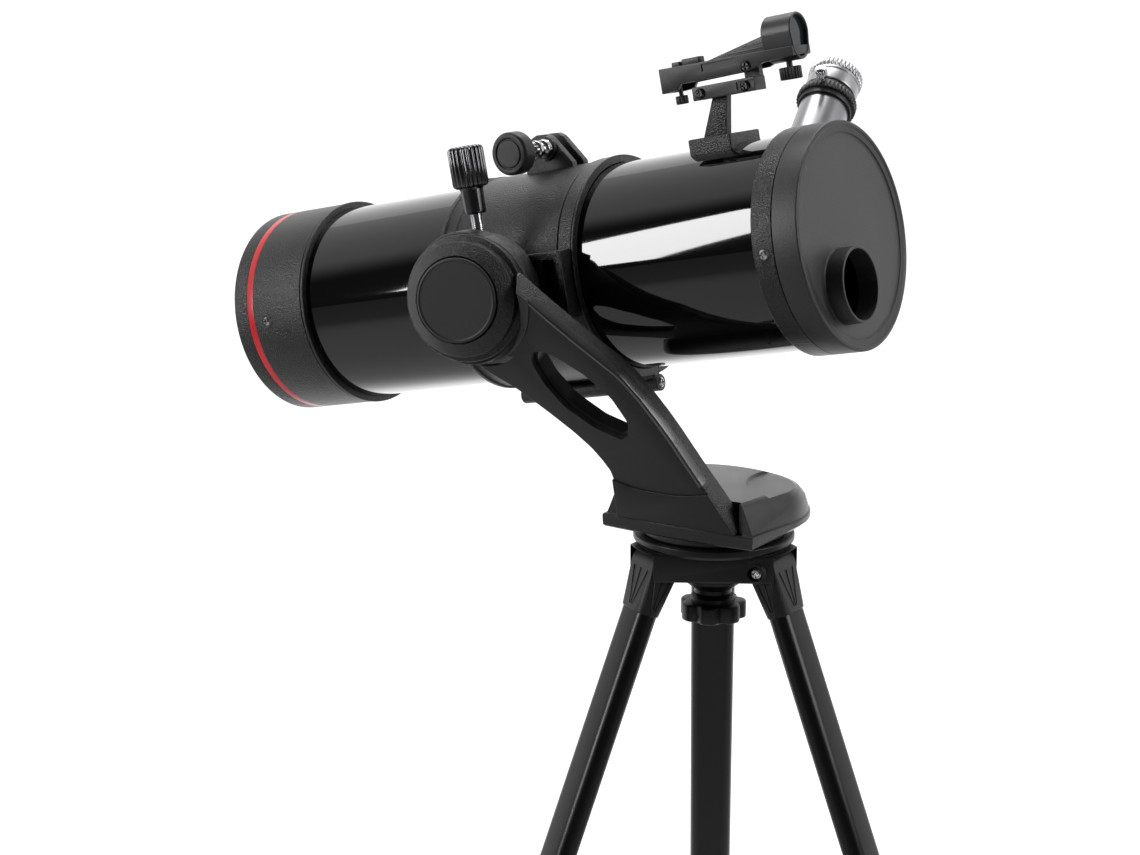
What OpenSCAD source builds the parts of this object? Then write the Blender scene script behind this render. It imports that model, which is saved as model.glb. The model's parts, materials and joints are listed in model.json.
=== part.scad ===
// Small Newtonian telescope on a one-armed alt-azimuth mount and a folding tripod.
// Row frame: Z up, origin on the floor under the azimuth axis, tube pointing along +X.
// Tube frame (in_tube): X along the tube towards its front, Z up from the tube,
// origin where the altitude axis meets the tube axis. Stations s run back from the front face.

/* [Optical tube] */
// Outside radius of the main tube
tube_r = 70; // [60:1:80]
// Wall thickness of the main tube
tube_wall = 1.2; // [0.8:0.1:2.5]
// Length from the dust cap's front face to the back of the rear ring
tube_len = 472; // [440:1:520]
// Outside radius of the dust cap and front ring
ring_r = 74; // [73:0.5:84]
// Depth of the dust cap's skirt
cap_depth = 18; // [14:1:26]
// Inside radius of the small aperture in the dust cap
aperture_r = 22.6; // [15:0.2:26]
// Height of the aperture's collar above the cap
collar_h = 10.5; // [5:0.5:16]
// Radius of the primary mirror
mirror_r = 57; // [50:1:57]
// Angle of the tube above the horizon
tube_tilt = 11.2; // [8:0.1:14]

/* [Mount] */
// Height of the turntable plane above the floor
head_z = 877; // [800:1:950]
// Distance of the altitude axis behind the azimuth axis
alt_back = 121; // [115:1:130]
// Height of the altitude axis above the turntable plane
alt_up = 172; // [165:1:185]
// Radius of the altitude hub's rear edge
hub_r = 41.5; // [40:0.5:42]
// Turn of the hub's face away from the altitude axis
hub_turn = 13; // [0:1:20]
// Upward turn of the hub's face
hub_rise = 4; // [0:1:8]
// Thickness of the arm
arm_t = 15; // [12:1:18]

/* [Cradle] */
// Station of the cradle's front edge
cradle_front = 166; // [162:1:172]
// Station of the cradle's rear edge
cradle_rear = 280; // [276:1:284]
// Outside radius of the cradle's shell
cradle_r = 75.5; // [74:0.5:78]

/* [Tripod] */
// Radius of the turntable disc
disc_r = 55; // [50:1:60]
// Lean of an open leg from the vertical
lean = 20.7; // [18:0.1:23]
// Half width of a leg tube across its two round edges
leg_half = 15.5; // [14:0.5:16]
// Radius of a leg tube's round edges
leg_edge = 8; // [7.5:0.5:9]
// Wall thickness of the leg tubes
leg_wall = 1.2; // [1:0.1:2]

/* [Focuser] */
// Angle of the focuser from the top of the tube, towards +Y
focus_turn = 50; // [45:1:55]
// Station of the focuser's axis
focus_s = 59; // [56:0.5:64]
// Outside radius of the drawtube
draw_r = 17; // [16.8:0.1:18]
// Radius of the eyepiece barrel
barrel_r = 15.85; // [15.8:0.01:15.85]

/* [Hidden] */
$fn = 64;

plastic = [0.07, 0.07, 0.08];
steel = [0.75, 0.75, 0.77];
bright = [0.85, 0.85, 0.87];
glass = [0.6, 0.75, 0.8];

// Running clearances
fit = 0.06;
slip = 0.4;
big = 1000;

// ---------- frames ----------
alt_s = 226;                       // station of the altitude axis
alt_z = head_z + alt_up;
function at_s(s) = alt_s - s;      // X in the tube frame of station s

module in_tube() {
    translate([-alt_back, 0, alt_z]) rotate([0, -tube_tilt, 0]) children();
}
// A solid whose own Z runs towards the tube's front, placed at station s.
module along_tube(s) {
    translate([at_s(s), 0, 0]) rotate([0, 90, 0]) children();
}
// A ring about the tube axis from station s0 back to s1.
module tube_ring(s0, s1, r_out, r_in) {
    along_tube(s1) difference() {
        cylinder(r = r_out, h = s1 - s0);
        translate([0, 0, -1]) cylinder(r = r_in, h = s1 - s0 + 2);
    }
}
// Focuser frame: Z outward along the focuser's axis from the tube axis, X towards the front.
module in_focuser() {
    in_tube() translate([at_s(focus_s), 0, 0]) rotate([-focus_turn, 0, 0]) children();
}
// A solid whose own Z runs along -Y, starting at (x, y, z).
module toward_near(x, y, z) {
    translate([x, y, z]) rotate([90, 0, 0]) children();
}
module pipe(r_out, r_in, h) {
    difference() {
        cylinder(r = r_out, h = h);
        translate([0, 0, -1]) cylinder(r = r_in, h = h + 2);
    }
}
// A knob of radius r and height h with round grip ribs round its rim.
module ribbed_knob(r, h, ribs, rib_r) {
    cylinder(r = r - rib_r, h = h);
    for (i = [0 : ribs - 1]) rotate([0, 0, i * 360 / ribs])
        translate([r - rib_r, 0, 0.3]) cylinder(r = rib_r, h = h - 0.6, $fn = 24);
}
// A prism with two round long edges: half is its half width along Y, r its edge radius.
module slab_round(half, r, h) {
    translate([-r, -(half - r), 0]) cube([2 * r, 2 * (half - r), h]);
    for (side = [-1, 1]) translate([0, side * (half - r), 0]) cylinder(r = r, h = h);
}

// ---------- tripod ----------
pivot_r = 45.1;
pivot_z = -12;
pin_r = 2.5;
bolt_r = 5;
leg_len = (head_z + pivot_z) / cos(lean);
knuckle_end = -33;
upper_end = -500;
collar_top = -468;
collar_end = -512;
lower_top = -440;
foot_top = -(leg_len - 34);

module leg_frame(i) {
    rotate([0, 0, 120 * (i - 1)]) translate([pivot_r, 0, head_z + pivot_z])
        rotate([0, -lean, 0]) children();
}
module leg_tube(half, r, wall, top, end) {
    translate([0, 0, end]) difference() {
        slab_round(half, r, top - end);
        translate([0, 0, -1]) slab_round(half - wall, r - wall, top - end + 2);
    }
}

head_flat = 42;
head_drop = 19;
socket_half = leg_half + 0.8;      // half width of the opening that a leg folds in
module tripod_head() {
    color(plastic) difference() {
        union() {
            translate([0, 0, head_z]) cylinder(r = disc_r, h = disc_top);
            intersection() {
                translate([0, 0, head_z - head_drop]) cylinder(r = 58, h = head_drop);
                translate([0, 0, head_z - head_drop]) linear_extrude(head_drop)
                    polygon([for (i = [0 : 2]) 2 * head_flat * [cos(120 * i), sin(120 * i)]]);
            }
            translate([0, 0, head_z - 27]) cylinder(r1 = 15, r2 = 20, h = 8);
            translate([0, 0, head_z - 38]) cylinder(r = 13, h = 12);
        }
        for (i = [0 : 2]) rotate([0, 0, 120 * i]) {
            translate([31, -socket_half, head_z - 60]) cube([60, 2 * socket_half, 60]);
            translate([pivot_r, 40, head_z + pivot_z]) rotate([90, 0, 0]) cylinder(r = pin_r + fit, h = 80);
            toward_near(pivot_r, -19.5, head_z + pivot_z) cylinder(r = 5, h = 20);
            rotate([0, 0, 60]) translate([18, -16, head_z - head_drop - 1]) cube([18, 32, head_drop - 3]);
        }
        translate([0, 0, head_z - 60]) cylinder(r = bolt_r + fit, h = 80);
    }
}
module leg_pins() {
    color(bright) for (i = [0 : 2]) rotate([0, 0, 120 * i]) {
        translate([pivot_r, 20, head_z + pivot_z]) rotate([90, 0, 0]) cylinder(r = pin_r, h = 40);
        toward_near(pivot_r, -20, head_z + pivot_z) difference() {
            cylinder(r = 4.2, h = 2.6);
            for (a = [0, 90]) rotate([0, 0, a]) translate([-2.4, -0.5, 1.4]) cube([4.8, 1, 3]);
        }
    }
}
module leg_knuckle(i) {
    color(plastic) leg_frame(i) difference() {
        hull() {
            translate([0, leg_half - 0.2, 0]) rotate([90, 0, 0]) cylinder(r = 10.5, h = 2 * leg_half - 0.4, $fn = 32);
            translate([0, 0, knuckle_end]) slab_round(leg_half + 1, leg_edge + 1, 14, $fn = 32);
        }
        translate([0, 0, knuckle_end - 1]) slab_round(leg_half + 0.05, leg_edge + 0.05, 20);
        translate([0, 30, 0]) rotate([90, 0, 0]) cylinder(r = pin_r + fit, h = 60);
    }
}
module leg_upper(i) {
    color(plastic) leg_frame(i) leg_tube(leg_half, leg_edge, leg_wall, knuckle_end + 18, upper_end);
}
module leg_collar(i) {
    color(plastic) leg_frame(i) difference() {
        union() {
            translate([0, 0, collar_end]) slab_round(leg_half + 3.5, leg_edge + 3.5, collar_top - collar_end);
            translate([leg_edge, -7, collar_end + 6]) cube([11, 14, 24]);
        }
        translate([0, 0, upper_end - 0.2]) slab_round(leg_half + 0.05, leg_edge + 0.05, 60);
        translate([0, 0, collar_end - 1])
            slab_round(leg_half - leg_wall - 0.1, leg_edge - leg_wall - 0.1, 20);
        translate([0, 0, collar_end + 18]) rotate([0, 90, 0]) cylinder(r = 3 + fit, h = 40);
    }
}
module leg_clamp_knob(i) {
    color(plastic) leg_frame(i) translate([leg_edge + 1.5, 0, collar_end + 18]) rotate([0, 90, 0]) {
        cylinder(r = 3, h = 13);
        translate([0, 0, 11]) ribbed_knob(12.5, 12, 8, 3);
    }
}
module leg_lower(i) {
    color(plastic) leg_frame(i)
        leg_tube(leg_half - leg_wall - slip, leg_edge - leg_wall - slip, leg_wall, lower_top, foot_top - 14);
}
module leg_foot(i) {
    color([0.03, 0.03, 0.03]) difference() {
        leg_frame(i) difference() {
            translate([0, 0, foot_top - 50]) slab_round(leg_half + 1, leg_edge + 1, 50);
            translate([0, 0, foot_top - 14.1])
                slab_round(leg_half - leg_wall - slip + 0.05, leg_edge - leg_wall - slip + 0.05, 20);
        }
        translate([-big, -big, -100]) cube([2 * big, 2 * big, 100]);
    }
}

// ---------- azimuth joint and base ----------
disc_top = 7;
pan_low = 12.5;
pan_top = 21.5;
cover_top = 42;
base_chord = -50;

module hand_knob() {
    color(plastic) translate([0, 0, head_z - 55]) difference() {
        union() {
            cylinder(r = 19, h = 12);
            for (i = [0 : 6]) rotate([0, 0, 34 + i * 360 / 7]) translate([16.5, 0, 0.5])
                cylinder(r = 6.3, h = 11);
            translate([0, 0, 5]) cylinder(r = 15.5, h = 11.5);
        }
        translate([0, 0, 3]) cylinder(r = bolt_r + 0.05, h = 30);
    }
}
module azimuth_bolt() {
    color(steel) translate([0, 0, head_z - 51]) cylinder(r = bolt_r, h = 51 + 20);
}
// Plan of the base: flat towards the arm, bulging at the sides and round behind.
module base_outline(corner, bulge, flat_y, deep) {
    polygon(concat(
        [for (a = [-1 : 0.25 : 1]) [corner * a, flat_y - 2.5 * (1 - a * a)]],
        [for (a = [-15 : 7.5 : 195]) [bulge * cos(a), 4 + (deep - 4) * sin(a)]]));
}
module base_pan() {
    color(plastic) difference() {
        union() {
            hull() {
                translate([0, 0, head_z + pan_low]) linear_extrude(1) base_outline(57.5, 57, base_chord, 65);
                translate([0, 0, head_z + pan_top - 4]) linear_extrude(4)
                    base_outline(58, 62.5, base_chord, 71);
            }
            translate([0, 0, head_z + disc_top + 0.3]) cylinder(r = disc_r - 5, h = 8);
        }
        translate([0, 0, head_z + pan_low + 2]) linear_extrude(30) base_outline(53, 53, base_chord + 7, 61);
        translate([0, 0, head_z]) cylinder(r = bolt_r + fit, h = 60);
    }
    color(plastic) translate([0, 0, head_z + pan_low + 1]) pipe(12, bolt_r + fit, 10);
}
module cover_solid(grow) {
    hull() {
        translate([0, 0, head_z + pan_top]) linear_extrude(1)
            base_outline(56 + grow, 61.5 + grow, base_chord + 2 - grow, 70 + grow);
        translate([0, 0, head_z + cover_top - 10 + grow]) linear_extrude(1)
            base_outline(50 + grow, 60.5 + grow, base_chord + 5 - grow, 62 + grow);
        translate([0, 0, head_z + cover_top - 1 + grow]) linear_extrude(1)
            base_outline(44 + grow, 54 + grow, base_chord + 8 - grow, 44 + grow);
    }
}
module base_cover() {
    color(plastic) difference() {
        cover_solid(0);
        translate([0, 0, -0.05]) cover_solid(-3);
        // Shallow round step in the top
        translate([66, 29, head_z + cover_top - 1.6]) cylinder(r = 50, h = 20);
        arm_shape(0.4);
        translate([-big, base_chord - 60, head_z]) cube([2 * big, 63, 80]);
    }
}

// ---------- arm and hub ----------
arm_lean = 25.2;
axle_r = 6;
hub_back = 6;                      // depth of the hub's seat, from the flange
hub_face = 36;                     // front of the hub, from the flange
cap_r = 27.5;
flange_face = -103;                // near face of the moving altitude flange
flange_r = 39.5;
// Places a flat outline on the arm's leaning front face: X across, Y up the slope.
module on_arm() {
    translate([0, -33.25, head_z - 15.63]) rotate([90 + arm_lean, 0, 0]) children();
}
hub_v = 205;
arm_outline = [
    [-45, 41], [45, 41], [36, 64], [27, 84], [15, 113], [9, 126], [0, 143], [-11, 160], [-38, 184],
    [-57, 202], [-78, 223], [-90, 232], [-150, 190], [-133, 161], [-118, 150], [-97, 138], [-77, 122],
    [-62, 109], [-51, 97.5], [-45, 88], [-41, 80], [-40, 71]];
arm_window = [
    [-76, 171], [-68, 173], [-58, 170], [-39, 158], [-23, 142], [-15, 123], [-18, 112],
    [-24, 108], [-43, 115], [-63, 130], [-74, 147], [-79, 163]];
module arm_shape(grow) {
    on_arm() {
        translate([0, 0, -arm_t - grow]) linear_extrude(arm_t + 2 * grow) union() {
            polygon(arm_outline);
            translate([-alt_back, hub_v]) circle(r = hub_r);
        }
        if (grow > 0) translate([-46, 30, -arm_t - grow]) cube([92, 44, arm_t + 2 * grow]);
    }
}
module arm() {
    color(plastic) difference() {
        union() {
            arm_shape(0);
            toward_near(-alt_back, flange_face - 0.6, alt_z) cylinder(r = hub_r + 2.4, h = 13);
        }
        on_arm() translate([0, 0, -60]) linear_extrude(120) polygon(arm_window);
        // Room for the altitude flange, the cradle's boss, the hub and the base
        translate([-alt_back, flange_face - 0.6, alt_z]) rotate([-90, 0, 0]) cylinder(r = flange_r + 8, h = 90);
        translate([-alt_back, -87.5, alt_z]) rotate([-90, 0, 0]) cylinder(r = 66, h = 90);
        translate([-big, -big, head_z - 100]) cube([2 * big, 2 * big, 100 + pan_top + 0.05]);
        toward_near(-alt_back, 0, alt_z) cylinder(r = axle_r + fit, h = 200);
        in_hub() translate([0, 0, hub_back]) cylinder(r = hub_r + 0.15, h = 60);
    }
}
// Hub frame: Z out of the hub's face, origin on the altitude axis at the flange's near face.
module in_hub() {
    translate([-alt_back, flange_face - 0.6, alt_z]) rotate([0, 0, hub_turn]) rotate([90 - hub_rise, 0, 0]) children();
}
module hub_ring() {
    color(plastic) difference() {
        in_hub() difference() {
            union() {
                translate([0, 0, hub_back + 0.1]) cylinder(r = hub_r, h = 15);
                translate([0, 0, hub_back + 15]) cylinder(r = hub_r - 3.9, h = 6);
                translate([0, 0, hub_back + 21]) cylinder(r1 = hub_r - 3.9, r2 = 32, h = hub_face - 3 - hub_back - 21);
            }
            translate([0, 0, hub_back - 1]) cylinder(r = 22, h = hub_face - 6 - hub_back);
            translate([0, 0, hub_face - 6.5]) cylinder(r = cap_r + 0.3, h = 20);
        }
        translate([-big, flange_face - 1, head_z]) cube([2 * big, big, 400]);
    }
}
module hub_cap() {
    color(plastic) in_hub() translate([0, 0, hub_face - 6.4]) cylinder(r = cap_r, h = 6.4);
}
module altitude_axle() {
    color(steel) toward_near(-alt_back, -88, alt_z) {
        cylinder(r = axle_r, h = 26);
        translate([0, 0, 26]) cylinder(r = 10, h = 6, $fn = 6);
    }
}
module altitude_flange() {
    color(plastic) difference() {
        toward_near(-alt_back, -86.1, alt_z) difference() {
            cylinder(r = flange_r, h = -86.1 - flange_face);
            translate([0, 0, -5]) cylinder(r = axle_r + fit, h = 40);
        }
        lock_axis() translate([0, 0, 20]) cylinder(r = 3.2 + fit, h = 60);
    }
}
lock_x = 3.5;
// The altitude lock's screw runs square to the tube, down into the flange.
module lock_axis() {
    in_tube() translate([lock_x, -94.5, 0]) children();
}
module altitude_lock() {
    color([0.35, 0.35, 0.37]) lock_axis() {
        translate([0, 0, 22]) cylinder(r = 3.2, h = 34);
        translate([0, 0, 54]) cylinder(r = 5.5, h = 17);
        translate([0, 0, 70]) ribbed_knob(10.2, 26, 14, 1.6);
    }
}

// ---------- cradle ----------
cradle_in = tube_r + 0.5;
hinge_y = 6;
hinge_h = -82;
split_low = 5.3;
clamp_x = 9;
clamp_h = 88;
module cradle_shell() {
    difference() {
        union() {
            tube_ring(cradle_front, cradle_front + 5, cradle_r + 4.5, cradle_in);
            tube_ring(cradle_front + 5, cradle_front + 13, cradle_r + 3, cradle_in);
            tube_ring(cradle_front + 13, cradle_rear, cradle_r, cradle_in);
            tube_ring(cradle_rear - 4, cradle_rear, cradle_r + 1.5, cradle_in);
        }
    }
}
// The half space on the near (-Y) or far (+Y) side of the cradle's split.
module near_side(gap) {
    translate([-200, -200, -200]) cube([400, 200 - gap, 400]);
    translate([-200, -200, -200]) cube([400, 200 + split_low - gap, 200]);
}
module lug(y0) {
    toward_near(0, y0, 0) linear_extrude(6) polygon([
        [-11, 68], [-11, 76], [-6, 92], [-3, 96], [2, 98], [10, 97.5], [14, 95], [28, 76], [28, 68]]);
}
hinge_r = 5.5;
// A cylinder on the hinge's axis from x0 to x1.
module on_hinge(x0, x1, r) {
    translate([x0, hinge_y, hinge_h]) rotate([0, 90, 0]) cylinder(r = r, h = x1 - x0);
}
module hinge_barrel(x0, x1) {
    on_hinge(x0, x1, hinge_r);
}
module cradle_near() {
    color(plastic) in_tube() difference() {
        union() {
            intersection() {
                cradle_shell();
                near_side(0.3);
            }
            difference() {
                translate([-56, -86, -24]) cube([114, 14, 45]);
                translate([46, -90, -18]) cube([6, 12, 33]);
            }
            lug(-4);
            for (x = [-56, 22]) {
                hinge_barrel(x, x + 34);
                translate([x, -4, -79.5]) cube([34, 8, 6]);
                translate([x, 0, -87.4]) cube([34, 6, 11]);
            }
        }
        along_tube(300) cylinder(r = cradle_in, h = 200);
        translate([clamp_x, 20, clamp_h]) rotate([90, 0, 0]) cylinder(r = 3 + fit, h = 60);
        on_hinge(-60, 70, 2 + fit);
        // Room for the far half's barrel and the pin's head
        on_hinge(-21.9, 21.9, hinge_r + slip);
        on_hinge(56.6, 70, 4 + slip);
    }
}
module cradle_far() {
    color(plastic) in_tube() difference() {
        union() {
            difference() {
                cradle_shell();
                near_side(-0.3);
            }
            lug(10);
            hinge_barrel(-21.6, 21.6);
            translate([-21.6, hinge_y, -87.4]) cube([43.2, 7, 15.4]);
        }
        along_tube(300) cylinder(r = cradle_in, h = 200);
        translate([clamp_x, 20, clamp_h]) rotate([90, 0, 0]) cylinder(r = 4, h = 60);
        on_hinge(-60, 70, 2 + fit);
        // Room for the near half's barrels and the pin's head
        for (x = [-60, 21.7]) on_hinge(x, x + 38.3, hinge_r + slip);
    }
}
module cradle_hinge_pin() {
    color(steel) in_tube() {
        translate([-57, hinge_y, hinge_h]) rotate([0, 90, 0]) cylinder(r = 2, h = 114);
        translate([57, hinge_y, hinge_h]) rotate([0, 90, 0]) cylinder(r = 4, h = 2.5);
    }
}
module clamp_bolt() {
    color(bright) in_tube() toward_near(clamp_x, 9.5, clamp_h) {
        cylinder(r = 3, h = 55.5);
        translate([0, 0, 20]) cylinder(r1 = 7, r2 = 5.5, h = 7);
        translate([0, 0, 27]) cylinder(r = 4.6, h = 4);
        translate([0, 0, 31]) cylinder(r = 6.5, h = 4);
    }
}
module clamp_knob() {
    color(plastic) in_tube() toward_near(clamp_x, -40.1, clamp_h) difference() {
        union() {
            cylinder(r = 9, h = 5);
            translate([0, 0, 5]) cylinder(r = 14.5, h = 10);
        }
        translate([0, 0, -1]) cylinder(r = 3 + fit, h = 7.5);
        translate([0, 0, 14]) pipe(11, 9, 3);
    }
}

// ---------- optical tube ----------
tube_front = 6;
tube_rear = 438;
rear_lip = 404;
rear_r = ring_r + 0.6;
module main_tube() {
    color([0.01, 0.01, 0.012]) difference() {
        in_tube() tube_ring(tube_front, tube_rear, tube_r, tube_r - tube_wall);
        in_focuser() {
            translate([0, 0, 40]) cylinder(r = draw_r + 2, h = 60);
            translate([-6, 0, 40]) cube([12, rack_pitch_y + 2.5, 60]);
        }
    }
}
module front_ring() {
    color(plastic) in_tube() {
        tube_ring(cap_depth + 0.3, cap_depth + 15, ring_r, tube_r + 0.05);
        tube_ring(tube_front, cap_depth + 0.3, ring_r - 2, tube_r + 0.05);
    }
}
module rear_ring() {
    color(plastic) in_tube() {
        tube_ring(rear_lip, rear_lip + 2.5, rear_r, tube_r + 0.05);
        tube_ring(rear_lip + 2.5, tube_rear + 1, rear_r - 0.5, tube_r + 0.05);
        tube_ring(tube_rear + 1, tube_len - 13 - 6, rear_r - 0.5, tube_r - 2);
        tube_ring(tube_len - 13 - 6, tube_len - 13, rear_r - 1.1, tube_r - 2);
        tube_ring(tube_len - 13, tube_len, rear_r - 0.5, tube_r - 2);
        difference() {
            tube_ring(tube_len - 8, tube_len - 4, tube_r - 1.9, 26);
            for (i = [0 : 2]) knob_place(i) translate([0, 0, -30]) cylinder(r = 2.5 + fit, h = 60);
        }
    }
}
module screw_head(r) {
    difference() {
        cylinder(r = r, h = 1.6);
        for (a = [0, 90]) rotate([0, 0, a]) translate([-r * 0.6, -0.45, 0.8]) cube([r * 1.2, 0.9, 2]);
    }
}
module ring_screws() {
    color(bright) in_tube() {
        for (i = [0 : 2]) rotate([120 * i, 0, 0])
            toward_near(at_s(cap_depth + 7.5), -ring_r - 0.1, 0) screw_head(3.2);
        for (i = [0 : 2]) rotate([120 * i, 0, 0])
            toward_near(at_s(tube_rear + 4), -rear_r + 0.4, 0) screw_head(3.2);
    }
}
knob_pcd = 50;
module knob_place(i) {
    rotate([120 * i, 0, 0]) translate([at_s(tube_len), 0, knob_pcd]) rotate([0, 90, 0]) children();
}
module mirror_cell() {
    color(plastic) in_tube() difference() {
        union() {
            tube_ring(442, 448, tube_r - 2.6, 15);
            tube_ring(426, 442, mirror_r + 3, mirror_r + 0.4);
            for (i = [0 : 2]) rotate([120 * i + 60, 0, 0]) {
                translate([at_s(430), -5, mirror_r - 4]) translate([3.8, 0, 0]) cube([1.6, 10, 7]);
                translate([at_s(430), -5, mirror_r + 0.4]) cube([5.4, 10, 2.6]);
            }
        }
        for (i = [0 : 2]) knob_place(i) translate([0, 0, -10]) cylinder(r = 2.5 + fit, h = 60);
    }
}
module primary_mirror() {
    color(bright) in_tube() along_tube(441.9) difference() {
        cylinder(r = mirror_r, h = 14);
        translate([0, 0, 12.4 + 1000]) sphere(r = 1000.8, $fn = 300);
    }
}
module collimation_knob(i) {
    color(plastic) in_tube() knob_place(i) {
        translate([0, 0, 3]) cylinder(r = 2.5, h = 24);
        translate([0, 0, -9]) ribbed_knob(9, 12.5, 10, 2);
    }
}
module spider() {
    color(plastic) in_tube() {
        along_tube(34) pipe(9, 3, 12);
        for (i = [0 : 2]) rotate([120 * i + 170, 0, 0])
            translate([at_s(33), -0.5, 8.6]) cube([10, 1, tube_r - tube_wall - 8.8]);
    }
}
module secondary_holder() {
    color(plastic) difference() {
        in_tube() {
            along_tube(80) cylinder(r = 13, h = 44);
            along_tube(37) cylinder(r = 2.95, h = 14);
        }
        in_focuser() rotate([0, -45, 0]) translate([-60, -60, -3]) cube([120, 120, 200]);
    }
}
module secondary_mirror() {
    color(bright) intersection() {
        in_tube() along_tube(86) cylinder(r = 13, h = 50);
        in_focuser() rotate([0, -45, 0]) translate([-60, -60, -2.9]) cube([120, 120, 2.9]);
    }
}
module dust_cap() {
    color(plastic) in_tube() difference() {
        union() {
            tube_ring(0, cap_depth, ring_r, ring_r - 1.7);
            along_tube(3.4) cylinder(r = ring_r - 0.5, h = 2.4);
            tube_ring(0, 1.2, ring_r, ring_r - 7);
            translate([0, -21, -29.5]) along_tube(3.4) cylinder(r = aperture_r + 1.8, h = 3.4 + collar_h);
        }
        translate([0, -21, -29.5]) along_tube(10) cylinder(r = aperture_r, h = 40);
    }
}

// ---------- focuser and eyepiece ----------
housing_top = 82;
draw_low = 50;
thumb_turn = 18;
draw_top = 131;
pinion_off = 24.6;                 // pinion axis from the drawtube axis
pinion_out = 82;                   // pinion axis from the tube axis
focus_knob_r = 11;
gear_top = 91;                     // top of the gearbox from the tube axis
pitch = 2.5;                       // rack pitch
teeth = 12;
pinion_pitch_r = pitch * teeth / 360 * 180 / PI;
rack_pitch_y = pinion_off - pinion_pitch_r;
rack_len = 55;
module focuser_housing() {
    color(plastic) difference() {
        in_focuser() union() {
            translate([0, 0, 60]) cylinder(r = draw_r + 2.6, h = housing_top - 60);
            translate([-24, -20, 56]) cube([48, 50, 16]);
            translate([-13, 10, 60]) cube([26, pinion_off - 10 + 8, gear_top - 60]);
        }
        in_tube() along_tube(200) cylinder(r = tube_r + 0.05, h = 300);
        in_focuser() {
            translate([0, 0, 20]) cylinder(r = draw_r + fit, h = 140);
            translate([-4.4, 0, 20]) cube([8.8, rack_pitch_y + 1.6, 140]);
            translate([-5.6, pinion_off, pinion_out]) rotate([0, 90, 0]) cylinder(r = 6.6, h = 11.2);
            translate([-60, pinion_off, pinion_out]) rotate([0, 90, 0]) cylinder(r = 2.5 + fit, h = 120);
            for (x = [-33, 17.4]) translate([x, pinion_off, pinion_out]) rotate([0, 90, 0])
                cylinder(r = focus_knob_r + 0.7, h = 15.6);
        }
    }
}
module tooth(h) {
    polygon([[-pitch * 0.25, -0.3], [pitch * 0.25, -0.3], [pitch * 0.1, h], [-pitch * 0.1, h]]);
}
module drawtube() {
    color(steel) in_focuser() difference() {
        union() {
            translate([0, 0, draw_low]) cylinder(r = draw_r, h = draw_top - draw_low);
            // Rack along the side that faces the pinion
            translate([-4, draw_r - 1.5, draw_low]) cube([8, rack_pitch_y - 0.9 - draw_r + 1.5, rack_len]);
            for (k = [-9 : 8]) translate([4, rack_pitch_y - 0.9, pinion_out + (k + 0.5) * pitch])
                rotate([0, -90, 0]) linear_extrude(8) tooth(1.7);
        }
        translate([0, 0, draw_low - 1]) cylinder(r = barrel_r + 0.05, h = 100);
    }
}
module focus_knobs() {
    color(plastic) in_focuser() translate([0, pinion_off, pinion_out]) rotate([0, 90, 0]) {
        translate([0, 0, -30]) cylinder(r = 2.5, h = 60);
        translate([0, 0, -4]) {
            cylinder(r = pinion_pitch_r - 0.9, h = 8);
            for (k = [0 : teeth - 1]) rotate([0, 0, k * 360 / teeth]) linear_extrude(8)
                translate([0, pinion_pitch_r - 0.9]) tooth(1.7);
        }
        for (z = [-32, 18]) translate([0, 0, z]) ribbed_knob(focus_knob_r, 14, 16, 1.6);
    }
}
module eyepiece_collar() {
    color(plastic) in_focuser() translate([0, 0, draw_top]) difference() {
        union() {
            ribbed_knob(20.8, 6, 40, 0.9);
            translate([0, 0, 6]) cylinder(r = 17.6, h = 4);
            translate([0, 0, -4]) cylinder(r = 18.4, h = 4.2);
        }
        translate([0, 0, -5]) cylinder(r = draw_r + 0.05, h = 5);
        translate([0, 0, -5]) cylinder(r = barrel_r + 0.05, h = 30);
        rotate([0, 0, thumb_turn]) translate([0, 0, 3]) rotate([90, 0, 0]) cylinder(r = 1.75 + fit, h = 40);
    }
}
module eyepiece_thumbscrew() {
    color(bright) in_focuser() rotate([0, 0, thumb_turn]) translate([0, -16.3, draw_top + 3]) rotate([90, 0, 0]) {
        cylinder(r = 1.75, h = 8);
        translate([0, 0, 7]) cylinder(r = 3.2, h = 2.5);
        translate([0, 0, 9]) ribbed_knob(4.2, 7, 12, 0.8);
    }
}
eyepiece_low = draw_top + 10.3;
barrel_end = 113;
module eyepiece_body() {
    color(bright) in_focuser() difference() {
        union() {
            translate([0, 0, barrel_end]) cylinder(r = barrel_r, h = eyepiece_low - barrel_end);
            translate([0, 0, eyepiece_low]) cylinder(r = 18.2, h = 13);
            translate([0, 0, eyepiece_low + 13]) ribbed_knob(18.9, 7, 36, 0.9);
        }
        translate([0, 0, barrel_end - 1]) cylinder(r = barrel_r - 1.2, h = 27);
        translate([0, 0, barrel_end]) cylinder(r = 9, h = 80);
    }
}
module eye_lens() {
    color(glass) in_focuser() translate([0, 0, eyepiece_low + 12]) cylinder(r = 8.95, h = 4);
}

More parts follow.
